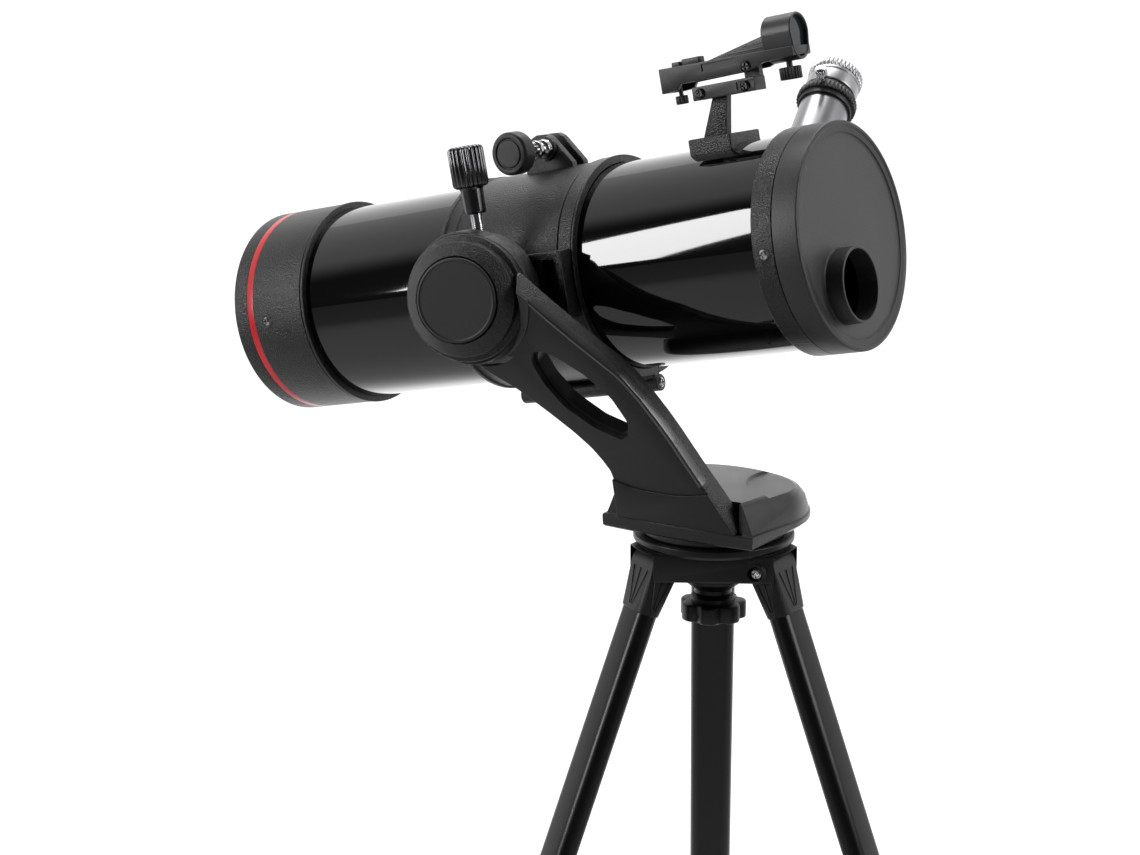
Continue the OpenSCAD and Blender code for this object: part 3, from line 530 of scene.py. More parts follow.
# ---------- focuser and eyepiece ----------
def make_focuser():
    saddle = prism([(-24, -20, 5), (24, -20, 5), (24, 30, 5), (-24, 30, 5)], 56, 72, 1.2)
    tube_space = moved(rod(TUBE_R + 0.05, -150, 150, 128), FOCUSER.inverted() @ TUBE @ turn(90, "Y"))
    bore = rod(DRAW_R + 0.1, 20, 200, 64)
    collar = lathe([(0, 60), (DRAW_R + 2.6, 60), (DRAW_R + 2.6, 78, 1), (DRAW_R + 1.4, 82, 0.8), (0, 82)],
                   64)
    gearbox = block(-13, 10, 60, 13, 32, GEAR_TOP, 1.5, 3)
    at_pinion = shift(0, PINION_Y, PINION_Z) @ turn(90, "Y")
    knob_rooms = [moved(rod(FOCUS_KNOB_R + 0.7, x, x + 15.6, 64), at_pinion) for x in (-33, 17.4)]
    body = cut(saddle, collar, gearbox, operation="UNION")
    rack_way = block(-4.4, 0, 20, 4.4, 21, 200, 0)
    piece("focuser_body", cut(body, tube_space, bore, rack_way, *knob_rooms), FOCUSER, "finder", "tube",
          "focuser_housing")
    for k, x in enumerate((-19, 19)):
        for n, y in enumerate((-15, 25)):
            phillips(f"focuser_screw_{k}{n}", FOCUSER @ shift(x, y, 71.6), 2.6, "tube")
    wall = lathe([(15.9, 50), (DRAW_R, 50, 0.3), (DRAW_R, DRAW_TOP, 0.3), (15.9, DRAW_TOP)], 96)
    piece("drawtube_wall", wall, FOCUSER, "draw", "drawtube")
    grip_turn = 5
    ring = join(cut(fluted(20.8, 6, 44, 0.9, 0, 0.7), rod(15.95, -2, 8, 64)),
                lathe([(15.9, 6), (17.9, 6), (17.9, 9.4, 0.6), (15.9, 10)], 96),
                lathe([(DRAW_R + 0.05, -4), (18.6, -4, 0.6), (18.6, 0.1), (DRAW_R + 0.05, 0.1)], 96))
    piece("eyepiece_holder", ring, FOCUSER @ shift(0, 0, DRAW_TOP) @ turn(grip_turn, "Z"), "knob",
          "drawtube", "eyepiece_collar", sharp=50)
    thumb = FOCUSER @ turn(18, "Z") @ near(0, -16.3, DRAW_TOP + 3)
    screw = join(rod(1.75, 0, 8, 24), lathe([(0, 7), (3.2, 7, 0.3), (3.2, 9.4, 0.3), (0, 9.4)], 32),
                 fluted(4.2, 7, 14, 0.5, 9.1, 0.5))
    piece("holder_thumbscrew", screw, thumb, "chrome", "eyepiece_screw", "eyepiece_thumbscrew", sharp=50)
    low = DRAW_TOP + 10.3
    step = low - BARREL_LOW
    barrel = lathe([(9, 0), (14.6, 0), (14.6, step + 2), (18.2, step, 0.8), (18.2, step + 9.5, 0.3),
                    (17.7, step + 10, 0.2), (17.7, step + 10.6, 0.2), (18.2, step + 11, 0.3),
                    (18.2, step + 13, 0.3), (9, step + 13)], 96)
    tip = lathe([(14.7, 0, 0.4), (15.85, 0, 0.5), (15.85, step + 1), (14.7, step + 1)], 96)
    cup = lathe([(0, 0), (12.5, 0), (9, step + 17), (13.5, 60), (0, 60)], 64)
    eye_end = cut(fluted(18.9, 7, 40, 0.8, step + 13, 1.0), cup)
    piece("eyepiece_shell", join(barrel, tip, eye_end), FOCUSER @ shift(0, 0, BARREL_LOW), "eyepiece",
          "eyepiece", "eyepiece_body", sharp=50)
    eye_guard = lathe([(9.2, low + 16.6), (15.4, low + 19.6, 0.8), (15.0, low + 20.3, 0.6),
                       (13.2, low + 19.8, 0.4), (9.2, low + 17.6)], 64)
    piece("eye_guard", eye_guard, FOCUSER, "slot", "eyepiece")
    for side in (-32, 18):
        knob = fluted(FOCUS_KNOB_R, 14, 24, 0.9, side, 1.2)
        piece("focus_knob_" + ("a" if side < 0 else "b"), knob, PINION, "knob", "focus_knobs", sharp=50)
    shaft = rod(2.5, -31, 31, 32)
    gear = fluted(5.6, 8, 12, 1.9, -4, 0.2)
    piece("focus_shaft", join(shaft, gear), PINION, "steel", "focus_knobs", "focus_knobs")


# ---------- finder ----------
def make_finder():
    tube_space = moved(rod(TUBE_R + 0.05, -200, 200, 128), turn(90, "Y"))
    shoe = cut(block(at_s(98), -22, 60, at_s(65.5), 17, 77, 1.0, 2.0), tube_space)
    stalk = prism([(at_s(94.5), 76), (at_s(76.5), 76), (at_s(72), 101.5), (at_s(83), 101.5)], 0, 6.4, 0.6)
    stalk = moved(stalk, near(0, -1, 0))
    piece("finder_shoe_body", join(shoe, stalk), TUBE, "ring", "tube", "finder_shoe")
    rail = block(at_s(93.5), -14, 101.05, at_s(46.5), 0.5, 109.9, 0.5, 0.6)
    groove = block(at_s(60), -16, 103, at_s(47.2), -13.3, 108.2, 0)
    lift = block(at_s(58), -5, 109, at_s(47), 0, 120.5, 0.3)
    piece("finder_bar", join(cut(rail, groove), lift), TUBE, "finder", "tube", "finder_rail")
    phillips("rail_screw_1", TUBE @ near(at_s(87.3), -13.9, 105.4), 3.5, "tube", look="black_screw")
    phillips("rail_screw_2", TUBE @ near(at_s(54), -13.2, 104.9), 3.6, "tube", look="black_screw")

    side = [(at_s(117), 109.2, 0.8), (at_s(105), 110, 1), (at_s(102.5), 113.6, 1), (at_s(47), 114.5, 1),
            (at_s(40), 117.3, 1.5), (at_s(17), 118.3, 1), (at_s(17), 124.3, 0.4), (at_s(117), 125.6, 0.8)]
    channel = moved(prism(side, -FINDER_HALF + 0.5, FINDER_HALF + 0.5, 0.6), near(0, 0, 0))
    inside = block(at_s(113), -9.5, 100, at_s(19), 8.5, 121, 0)
    panel = block(at_s(84.5), -14, 119.1, at_s(60), -12 + 0.35, 123.5, 0)
    slope = moved(prism([(at_s(88), 124), (at_s(20), 123), (at_s(20), 134), (at_s(HOOD_REAR), 134.3, 2)],
                        -9, 9, 0.8), near(0, 0, 0))
    piece("finder_channel", join(cut(channel, inside, panel), slope), TUBE, "finder", "finder",
          "finder_body")

    def hood_ring(x, inset):
        arcs = (11.2, 11, 126.3, range(180, 361, 10)), (12.5, 12.5, 133, range(0, 181, 6))
        return [(at_s(x), -0.5 + (wide - inset) * cos(radians(a)),
                 z + (high - inset) * sin(radians(a))) for wide, high, z, angles in arcs for a in angles]

    bm = bmesh.new()
    levels = [(HOOD_REAR, 0.6), (HOOD_REAR - 0.7, 0), (HOOD_FRONT + 0.7, 0), (HOOD_FRONT, 0.5),
              (HOOD_FRONT, 1.3), (HOOD_FRONT + 0.6, 1.8), (HOOD_REAR, 1.8)]
    rings = [[bm.verts.new(p) for p in hood_ring(x, inset)] for x, inset in levels]
    skin(bm, zip(rings, rings[1:] + rings[:1]), len(rings[0]))
    piece("finder_hood", bm, TUBE, "finder", "finder")
    for k, (h0, h1) in enumerate(((126.2, 127.4), (129.2, 130.2))):
        line = moved(prism([(at_s(66 - 12 * k), h0), (at_s(24), h0 + 0.6), (at_s(24), h1 + 0.6),
                            (at_s(64 - 12 * k), h1)], 8.7, 9.5, 0.2), near(0, 0, 0))
        piece(f"finder_rib_{k + 1}", line, TUBE, "finder", "finder")
    phillips("finder_pivot_screw", TUBE @ near(at_s(PIVOT_S), -11.7, 117), 4.0, "finder",
             "black_screw")
    for k, (s, width) in enumerate(((105.5, 3.4), (94, 7.0))):
        cap = block(at_s(s) - width, -9, 125, at_s(s) + width, -2, 128.4 + k, 0.7, 1.2)
        piece(f"finder_slider_{k + 1}", cap, TUBE, "finder", "finder")
    foot = join(fluted(4.2, 5.6, 12, 0.5, 101, 0.5), rod(1.5, 106, 112, 20))
    piece("finder_rear_screw", foot, TUBE @ shift(at_s(110), 0, 0), "finder", "finder", sharp=50)
    lamp = lathe([(0, 119), (3.2, 119), (3.2, 123.8, 0.6), (0, 124.4)], 32)
    piece("finder_lamp", lamp, TUBE @ shift(at_s(70), 0, 4.2), "slot", "finder")
    knob = join(fluted(7.2, 8, 22, 0.7, 104, 0.6), rod(2, 112, 117.3, 24))
    piece("finder_front_knob", knob, TUBE @ shift(at_s(27), -0.5, 0), "knob", "finder_knob", "finder_knob",
          sharp=50)


# ---------- cradle ----------
def cradle_ring():
    """The whole cradle band along the tube: rear bead, plain wall, groove, front band and lip."""
    depth = CRADLE[1] - CRADLE[0]
    wall = CRADLE_R
    profile = [(CRADLE_IN, 0), (wall + 1.2, 0, 0.7), (wall + 1.2, 3.0, 0.7), (wall, 3.6, 0.4),
               (wall, 10.5, 0.3), (wall + 0.7, 11, 0.3), (wall + 0.7, 12.4, 0.3), (wall, 12.9, 0.4),
               (wall, depth - 15.6, 0.4), (wall + 1.0, depth - 15.1, 0.4), (wall + 1.0, depth - 13.6, 0.4),
               (wall + 0.1, depth - 13.4), (wall + 0.1, depth - 12.7), (wall + 1.5, depth - 12.3, 0.6),
               (wall + 1.5, depth - 2.4, 0.4), (wall + 1.0, depth - 2.2), (wall + 1.0, depth - 1.8),
               (wall + 2.0, depth - 1.6, 0.5), (wall + 2.0, depth, 0.6), (CRADLE_IN, depth)]
    return moved(lathe(profile, 160), shift(at_s(CRADLE[1]), 0, 0) @ turn(90, "Y"))


def hinge_barrel(x0, x1, web_y):
    """One knuckle of the hinge, with the web that ties it to its half."""
    barrel = lathe([(2.1, x0), (5.9, x0, 0.7), (5.9, x1, 0.7), (2.1, x1)], 48)
    web = block(x0 + 0.3, min(web_y, HINGE_Y), HINGE_H + 3.5, x1 - 0.3, max(web_y, HINGE_Y), -72.2, 0.3)
    return [moved(barrel, HINGE), web]


def make_cradle():
    split = 5.3
    near_ring = cut(cradle_ring(), block(-200, -0.3, 0, 200, 200, 200, 0),
                    block(-200, split - 0.3, -200, 200, 200, 0.1, 0))
    far_ring = cut(cradle_ring(), block(-200, -200, 0, 200, 0.3, 200, 0),
                   block(-200, -200, -200, 200, split + 0.3, 0.1, 0))

    def lug(y0):
        plan = [(-11, 72), (-11, 76, 3), (-6, 92, 4), (-3, 96, 3), (2, 98, 3), (10, 97.5, 3), (14, 95, 4),
                (28, 76, 4), (28, 72)]
        plate = moved(prism(plan, 0, 6, 0.8), near(0, y0, 0))
        hole = moved(rod(3.4, -30, 30, 32), near(CLAMP_X, y0, CLAMP_H))
        return cut(plate, hole)

    boss = block(-56, -86, -24, 58, -73, 21, 0.8, 1.0)
    recesses = block(43, -90, -19, 53, -78, 16, 0), block(-50, -90, -19, 38, -84, 16, 0)
    boss = cut(boss, *recesses)

    def barrel_room(x0, x1, radius=5.9):
        return moved(rod(radius, x0, x1), HINGE)

    near_ring = cut(near_ring, barrel_room(-21.9, 21.9), barrel_room(56.6, 70, 4.4))
    far_ring = cut(far_ring, barrel_room(-60, -21.7), barrel_room(21.7, 60.1))
    near_half = [near_ring, boss, lug(-4)] + hinge_barrel(-56, -22, 0.5) + hinge_barrel(22, 60, 0.5)
    piece("cradle_near_half", join(*near_half), TUBE, "ring", "cradle", "cradle_near")
    piece("cradle_far_half", join(far_ring, lug(10), *hinge_barrel(-21.6, 21.6, 11)), TUBE, "ring",
          "cradle_gate", "cradle_far")
    collar = lathe([(3.5, 0), (8.6, 0, 0.3), (8.2, 2.6, 0.8), (5.4, 2.8, 0.4), (3.5, 2.4)], 48)
    piece("clamp_seat", collar, TUBE @ near(CLAMP_X, -9.6, CLAMP_H), "ring", "cradle")
    piece("hinge_pin", rod(2, -57, 59.5, 32), TUBE @ HINGE, "screw", "cradle", "cradle_hinge_pin")
    phillips("hinge_pin_head", TUBE @ shift(59.4, HINGE_Y, HINGE_H) @ turn(90, "Y"), 3.6, "cradle")
    nut = lathe([(0, 20), (5.4, 20, 0.8), (7, 22.2, 1.2), (6.4, 25.6, 1.0), (4.6, 27), (4.6, 31), (0, 31)],
                48)
    washer = lathe([(0, 31), (5.6, 31, 0.5), (6.5, 32, 0.8), (6.5, 34.2, 0.8), (5.2, 35, 0.5), (0, 35)], 48)
    piece("clamp_rod", join(threaded(3, 55.5, 1.1), nut, washer), TUBE @ near(CLAMP_X, 9.5, CLAMP_H),
          "chrome", "cradle_clamp", "clamp_bolt")
    knob = lathe([(0, 0), (9, 0, 0.8), (9.4, 2.2), (13.6, 3.0, 0.8), (14.5, 4.2, 0.8), (14.5, 13.4, 1.4),
                  (13.0, 15, 0.8), (10.6, 15, 0.3), (10.2, 14.1, 0.3), (9.4, 14.1, 0.3), (9.0, 14.9, 0.3),
                  (8.2, 14.9), (0, 14.9)], 96)
    piece("clamp_hand_knob", knob, TUBE @ near(CLAMP_X, -40.1, CLAMP_H), "knob", "cradle_clamp",
          "clamp_knob")
    flange = lathe([(6.1, 0), (39.5, 0, 1.2), (39.5, 12.4, 1.4), (37.6, 16.9, 0.8), (6.1, 16.9)], 128)
    piece("flange_disc", flange, near(HUB_X, -86.1, HUB_Z), "hub", "cradle", "altitude_flange")
    lock = TUBE @ shift(LOCK_X, -94.5, 0)
    piece("lock_rod", moved(threaded(4.1, 34, 1.25), shift(0, 0, 22)), lock, "chrome", "altitude_lock")
    sleeve = lathe([(0, 53), (6.6, 53, 0.5), (7.2, 54.4, 0.6), (7.6, 69, 0.3), (9.6, 72.5, 1.0), (0, 72.5)],
                   64)
    knob = join(sleeve, fluted(12.0, 27.4, 22, 1.1, 70.2, 2.6))
    piece("lock_knob", knob, lock, "dark_chrome", "altitude_lock", "altitude_lock", sharp=50)


# ---------- arm, hub and base ----------
ARM_OUTLINE = [(-45, 41), (45, 41), (36, 64, 40), (27, 84, 60), (15, 113, 60), (9, 126, 30), (0, 143, 40),
               (-11, 160, 40), (-38, 184, 60), (-57, 202, 40), (-78, 223), (-118, 223), (-150, 200),
               (-150, 185), (-133, 161, 30), (-118, 150, 60), (-97, 138, 60), (-77, 122, 60),
               (-62, 109, 40), (-51, 97.5, 30), (-45, 88, 20), (-41, 80, 10), (-40, 71, 10)]
ARM_WINDOW = [(-76, 171, 5), (-68, 173, 4), (-58, 170, 8), (-39, 158, 20), (-23, 142, 20), (-15, 123, 12),
              (-18, 112, 5), (-24, 108, 5), (-43, 115, 20), (-63, 130, 20), (-74, 147, 20), (-79, 163, 10)]
COLLAR_ARC, COLLAR_ARC_R, COLLAR_STEP = (-133, 223), 67.5, 0.7
STRIP_PATH = [(29.3, 79), (27, 84, 30), (15, 113, 60), (9, 126, 30), (0, 143, 40), (-11, 160, 40),
              (-38, 184, 60), (-57, 202, 40), (-66, 211)]
SKIRT = [(-40.8, 72.6), (-24, 68, 80), (8, 67.4, 80), (32.2, 72.6), (45.2, 41), (-45.2, 41)]
SKIRT_STEP = 0.9


def offset(points, amount):
    """An outline with every corner moved to the left of its direction."""
    flat = rounded(points, True)
    out = []
    count = len(flat)
    for k, p in enumerate(flat):
        d = (flat[(k + 1) % count] - flat[k - 1]).normalized()
        out.append((p.x - d.y * amount, p.y + d.x * amount))
    return out


def hub_room():
    return moved(rod(HUB_R + 0.15, HUB_BACK, 80, 96), ARM.inverted() @ HUB)


def base_room():
    return moved(block(-300, -300, -100, 300, 300, PAN_TOP + 0.05, 0), ARM.inverted() @ BASE)


def make_arm():
    plate = prism(ARM_OUTLINE, -ARM_T, 0, 1.0)
    flange_space = moved(rod(47.5, 0, 90, 96), ARM.inverted() @ shift(HUB_X, HUB_Y, HUB_Z) @ turn(-90, "X"))
    boss_space = moved(rod(66, 0, 90, 96), ARM.inverted() @ shift(HUB_X, -87.5, HUB_Z) @ turn(-90, "X"))
    seat = moved(lathe([(0, 0), (HUB_R + 2.4, 0), (HUB_R + 2.4, 13, 1), (0, 13)], 96),
                 ARM.inverted() @ near(HUB_X, HUB_Y, HUB_Z))
    window = prism(ARM_WINDOW, -40, 40, 0)
    body = cut(plate, seat, operation="UNION")
    body = cut(body, window, base_room(), flange_space, boss_space, hub_room())
    piece("arm_body", body, ARM, "smooth", "mount", "arm", second="hub",
          chosen=lambda face: abs(face.normal.z) < 0.4)

    # Grained collar around the hub, ending in an arc
    collar = cut(prism(offset(ARM_OUTLINE, 0.15), -2, COLLAR_STEP, 0.3),
                 moved(rod(COLLAR_ARC_R, -9, 9, 160), shift(*COLLAR_ARC, 0)), operation="INTERSECT")
    piece("arm_collar", cut(collar, hub_room()), ARM, "hub", "mount")

    # Smooth strip along the upper edge, with a rounded lip that stands proud of the front face
    section = [(2.8, -0.6), (2.5, 0.1), (1.9, 0.75), (1.0, 1.0), (0.1, 0.75), (-0.45, 0.1), (-0.65, -0.8),
               (-0.6, -6.6), (-0.1, -7.2), (2.8, -7.2)]
    bm = bmesh.new()
    rings = []
    path = rounded(STRIP_PATH, False)
    for k, p in enumerate(path):
        d = (path[min(k + 1, len(path) - 1)] - path[max(k - 1, 0)]).normalized()
        rings.append([bm.verts.new((p.x - d.y * across, p.y + d.x * across, z)) for across, z in section])
    skin(bm, zip(rings, rings[1:]), len(section), (rings[0], rings[-1]))
    piece("arm_edge_strip", bm, ARM, "strip", "mount")

    # Foot skirt: its face stands a little proud under a shallow arc
    skirt = prism(SKIRT, -2, SKIRT_STEP, 0.4)
    piece("arm_skirt", cut(skirt, base_room()), ARM, "smooth", "mount")

    # Ledge inside the window
    outer = prism(offset(ARM_WINDOW, 0.05), -ARM_T + 0.6, -4.2, 0)
    inner = prism(offset(ARM_WINDOW, -2.2), -60, 60, 0)
    piece("window_ledge", cut(outer, inner), ARM, "smooth", "mount")


def make_hub():
    ring = lathe([(22, HUB_BACK - 1), (HUB_R, HUB_BACK + 0.2, 1.0), (HUB_R, HUB_BACK + 14.6, 1.2),
                  (HUB_R - 3.4, HUB_BACK + 15.4, 0.6), (HUB_R - 3.9, HUB_BACK + 16, 0.4),
                  (HUB_R - 3.9, HUB_BACK + 21.2, 1.0), (HUB_CAP_R + 1.3, HUB_FACE - 2.2, 0.7),
                  (HUB_CAP_R + 0.35, HUB_FACE - 2.9, 0.3), (HUB_CAP_R + 0.35, HUB_FACE - 6.5),
                  (22, HUB_FACE - 6.5)], 160)
    piece("hub_housing", ring, HUB, "hub", "mount", "hub_ring")
    cap = lathe([(0, HUB_FACE - 6.4), (HUB_CAP_R, HUB_FACE - 6.4), (HUB_CAP_R, HUB_FACE - 0.9, 0.8),
                 (HUB_CAP_R - 1.4, HUB_FACE - 0.1, 0.5), (HUB_CAP_R - 2.4, HUB_FACE - 0.7, 0.3),
                 (HUB_CAP_R - 3.4, HUB_FACE - 0.7), (0, HUB_FACE - 0.7)], 128)
    piece("hub_disc", cap, HUB, "disc", "mount", "hub_cap")


def base_outline(corner, bulge, flat_y, deep):
    flat = [(corner * a / 4, flat_y - 2.5 * (1 - (a / 4) ** 2)) for a in range(-4, 5)]
    steps = 40
    arc = []
    for k in range(steps + 1):
        a = radians(-15 + 210 * k / steps)
        arc.append((bulge * cos(a), 4 + (deep - 4) * sin(a)))
    return flat + arc


def layered(*layers):
    """A hull over base outlines, each given as (corner, bulge, flat_y, deep, z)."""
    return hull([(x, y, layer[-1]) for layer in layers for x, y in base_outline(*layer[:-1])])


def make_base():
    pan = layered((56.6, 56, -49, 64, PAN_LOW), (57.5, 57, -50, 65, PAN_LOW + 1),
                  (58, 62.5, -50, 71, PAN_TOP - 4), (58, 62.5, -50, 71, PAN_TOP - 0.9),
                  (57.3, 61.8, -49.3, 70.3, PAN_TOP))
    hollow = layered((53, 53, -43, 61, PAN_LOW + 2), (53, 53, -43, 61, PAN_TOP + 20))
    bolt_hole = rod(BOLT_ROOM, -10, 60, 40)
    foot = lathe([(0, 7.3), (49.2, 7.3, 0.6), (50, 8.4, 0.4), (50, PAN_LOW + 1), (0, PAN_LOW + 1)], 96)
    tower = lathe([(BOLT_ROOM, PAN_LOW + 1), (12, PAN_LOW + 1), (12, 23.5, 0.5), (BOLT_ROOM, 23.5)], 48)
    piece("base_tray", join(cut(pan, hollow, bolt_hole), cut(foot, rod(BOLT_ROOM, -10, 60, 40)), tower),
          BASE, "cover", "mount", "base_pan")
    solid = layered((56, 61.5, -48, 70, PAN_TOP), (55.4, 61.4, -48, 69.6, PAN_TOP + 1.2),
                    (51.5, 60.5, -47.8, 62, COVER_TOP - 10), (49.2, 58, -47.8, 53, COVER_TOP - 4),
                    (47.5, 54, -47.6, 44, COVER_TOP - 1), (46, 51, -46, 41, COVER_TOP))
    inside = layered((53, 58.5, -45, 67, PAN_TOP - 3), (47, 57.5, -42, 59, COVER_TOP - 13),
                     (41, 50, -39, 40, COVER_TOP - 3))
    step = moved(lathe([(0, 0), (49.2, 0), (50.6, 1.8), (50.6, 20), (0, 20)], 128),
                 shift(66, 29, COVER_TOP - 1.6))
    arm_space = moved(block(-46, 30, -ARM_T - 0.4, 46, 120, 0.4, 0), BASE.inverted() @ ARM)
    front = block(-200, -120, -20, 200, -47, 80, 0)
    piece("base_lid", cut(solid, inside, step, arm_space, front), BASE, "cover", "mount", "base_cover",
          sharp=24)


# ---------- tripod ----------
def make_head():
    disc = lathe([(0, 0), (52.5, 0, 0.8), (55, 2.4, 1.6), (55, 6.2, 0.8), (54, 7, 0.4), (0, 7)], 128)
    flat, drop = 42, 19
    corners = [(2 * flat * cos(radians(120 * k)), 2 * flat * sin(radians(120 * k))) for k in range(3)]
    core = cut(prism(corners, -drop, 0.2, 1.4), rod(58, -60, 60, 96), operation="INTERSECT")
    dome = lathe([(0, -38), (11.6, -38, 0.6), (13, -36.8, 0.6), (13, -33.6, 0.8), (16.2, -31.6, 2),
                  (21.6, -27.4, 3), (22.8, -20.6), (22.8, -17.5), (0, -17.5)], 64)
    body = cut(core, dome, operation="UNION")
    cutters = []
    for k in range(3):
        around = turn(120 * k, "Z")
        socket = block(31, -LEG_HALF - SOCKET_ROOM, -60, 91, LEG_HALF + SOCKET_ROOM, -0.02, 0)
        cutters.append(moved(socket, around))
        cutters.append(moved(rod(5, 0, 20, 32), around @ near(PIVOT_R, -PIN_SEAT, PIVOT_Z)))
    bolt = rod(BOLT_ROOM, -60, 60, 40)
    body = cut(body, bolt, *cutters)
    disc = cut(disc, rod(BOLT_ROOM, -60, 60, 40))
    piece("head_block", join(body, disc), BASE, "head", "tripod_head", "tripod_head")
    for k in range(3):
        around = BASE @ turn(120 * k, "Z")
        piece(f"pin_boss_{k + 1}", lathe([(5.1, 0), (6.9, 0), (6.9, 3.2, 0.6), (5.3, 3.2, 0.4)], 48),
              around @ near(PIVOT_R, -PIN_SEAT, PIVOT_Z), "head", "tripod_head")
        made = piece(f"leg_pin_{k + 1}", rod(2.5, -20, 20, 32),
                     around @ shift(PIVOT_R, 0, PIVOT_Z) @ turn(90, "X"), "screw", "tripod_head")
        phillips(f"leg_pin_head_{k + 1}", around @ near(PIVOT_R, -20, PIVOT_Z), 4.4, "tripod_head",
                 height=2.6)
    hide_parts("leg_pins")


def make_hand_knob():
    lobes = 7
    outline = []
    steps = lobes * 20
    for k in range(steps):
        a = 2 * pi * k / steps
        r = 22.8 - 3.4 * (0.5 - 0.5 * cos(lobes * a)) ** 2.2
        outline.append((r * cos(a), r * sin(a)))
    body = prism(outline, 0, 12, 1.4)
    neck = lathe([(5.1, 11), (15.5, 11), (15.5, 15.6, 0.9), (14.4, 16.5, 0.4), (5.1, 16.5)], 64)
    underside = lathe([(0, -0.6), (9, -0.6, 0.6), (10.5, 0.6), (0, 0.6)], 48)
    piece("hand_knob_body", join(body, neck, underside), BASE @ shift(0, 0, -55) @ turn(34, "Z"), "knob",
          "azimuth_lock", "hand_knob", sharp=40)


def slab_outline(grow):
    """Two round edges of the leg's section, flat between them, grown all round."""
    half, edge, steps = LEG_HALF + grow, LEG_EDGE + grow, 14
    out = []
    for side, first in ((1, 0), (-1, 180)):
        for a in (radians(first + 180 * k / steps) for k in range(steps + 1)):
            out.append((edge * cos(a), side * (half - edge) + edge * sin(a)))
    return out


def slab(grow, z0, z1, radius=0.0, wall=0.0):
    """A length of leg section, solid or with a wall."""
    outer = prism(slab_outline(grow), z0, z1, radius)
    return cut(outer, slab(grow - wall, z0 - 1, z1 + 1)) if wall else outer


def make_leg(i):
    place = leg(i)
    length = (HEAD_Z + PIVOT_Z) / cos(radians(LEAN))
    top = [(r * cos(a), y, r * sin(a)) for y, r in ((LEG_HALF - 0.2, 9.7), (LEG_HALF - 1.0, 10.5))
           for a in map(radians, range(0, 360, 9))]
    top += [(x, -y, z) for x, y, z in top]
    low = [(x, y, z) for z, grow in ((-33, 0.4), (-32.4, 1.0), (-19, 1.0)) for x, y in slab_outline(grow)]
    ears = hull(top + low)
    bore = slab(0.05, -34, -13)
    pin_way = moved(rod(2.6, -30, 30, 32), turn(90, "X"))
    piece(f"leg_{i}_hinge_cap", cut(ears, bore, pin_way), place, "head", f"leg_{i}", f"leg_{i}_knuckle",
          sharp=26)
    # Three thin raised ribs in a V on each broad side and across the front
    for side, sign in (("out", 1), ("in", -1)):
        ribs = [bead((x, sign * 15.6, -4.5), (x * 0.25, sign * 16.3, -28), 0.9, 0.7)
                for x in (-6.2, 0.4, 6.2)]
        piece(f"leg_{i}_rib_{side}", join(*ribs), place, "head", f"leg_{i}", sharp=60)
    face = [bead((10.2, y, -5), (8.9, y * 0.2, -29), 0.9, 0.7) for y in (-9, 0, 9)]
    piece(f"leg_{i}_rib_front", join(*face), place, "head", f"leg_{i}", sharp=60)
    piece(f"leg_{i}_tube", slab(0, LEG_LOW, -15, 0.3, LEG_WALL), place, "leg", f"leg_{i}", f"leg_{i}_upper")
    collar = slab(3.5, -512, -468, 1.6)
    lug = block(LEG_EDGE, -7, -506, LEG_EDGE + 11, 7, -482, 1.2, 2)
    passage = slab(-1.3, -520, -460)
    seat = slab(0.05, LEG_LOW - 0.2, -440)
    screw_way = moved(rod(3.06, 0, 40, 32), shift(0, 0, CLAMP_Z) @ turn(90, "Y"))
    bands = [cut(slab(3.9, z, z + 2.4, 0.7), slab(2, z - 2, z + 6)) for z in (-474, -511)]
    collar = cut(collar, lug, operation="UNION")
    piece(f"leg_{i}_sleeve", join(cut(collar, passage, seat, screw_way), *bands), place, "head", f"leg_{i}",
          f"leg_{i}_collar", sharp=30)
    clamp = join(fluted(12.5, 12, 8, 2.6, 11, 1.4), rod(3, 0, 12, 32))
    piece(f"leg_{i}_clamp_grip", clamp, place @ shift(LEG_EDGE + 1.5, 0, CLAMP_Z) @ turn(90, "Y"), "knob",
          f"leg_{i}_clamp", f"leg_{i}_clamp_knob", sharp=45)
    foot_top = -(length - 34)
    piece(f"leg_{i}_inner_tube", slab(-LEG_STEP, foot_top - 14, -440, 0.3, LEG_WALL), place, "leg",
          f"leg_{i}_extension", f"leg_{i}_lower")
    shoe = slab(1, foot_top - 50, foot_top, 1.2)
    grips = []
    for z in (foot_top - 5, foot_top - 9, foot_top - 13):
        grips.append(cut(slab(1.5, z, z + 1.6, 0.5), slab(0, z - 2, z + 4)))
    socket = slab(0.05 - LEG_STEP, foot_top - 14.1, foot_top + 5)
    floor_cut = moved(block(-200, -200, -100, 200, 200, 0, 0),
                      place.inverted() @ turn(120 * (i - 1), "Z") @ shift(FOOT_R, 0, 0))
    piece(f"leg_{i}_pad", join(cut(shoe, socket, floor_cut), *grips), place, "rubber", f"leg_{i}_extension",
          f"leg_{i}_foot")


# ---------- what stays as the design has it ----------
CARRIED = {"azimuth_bolt": "steel", "altitude_axle": "steel", "mirror_cell": "inner",
           "primary_mirror": "mirror", "spider": "inner", "secondary_holder": "inner",
           "secondary_mirror": "mirror", "collimation_knob_1": "knob", "collimation_knob_2": "knob",
           "collimation_knob_3": "knob", "drawtube": "draw", "eye_lens": "lens", "finder_lens": "lens"}


def dress_carried():
    for node, look in CARRIED.items():
        made = frame["nodes"][node]
        made.data.materials.clear()
        made.data.materials.append(M[look])


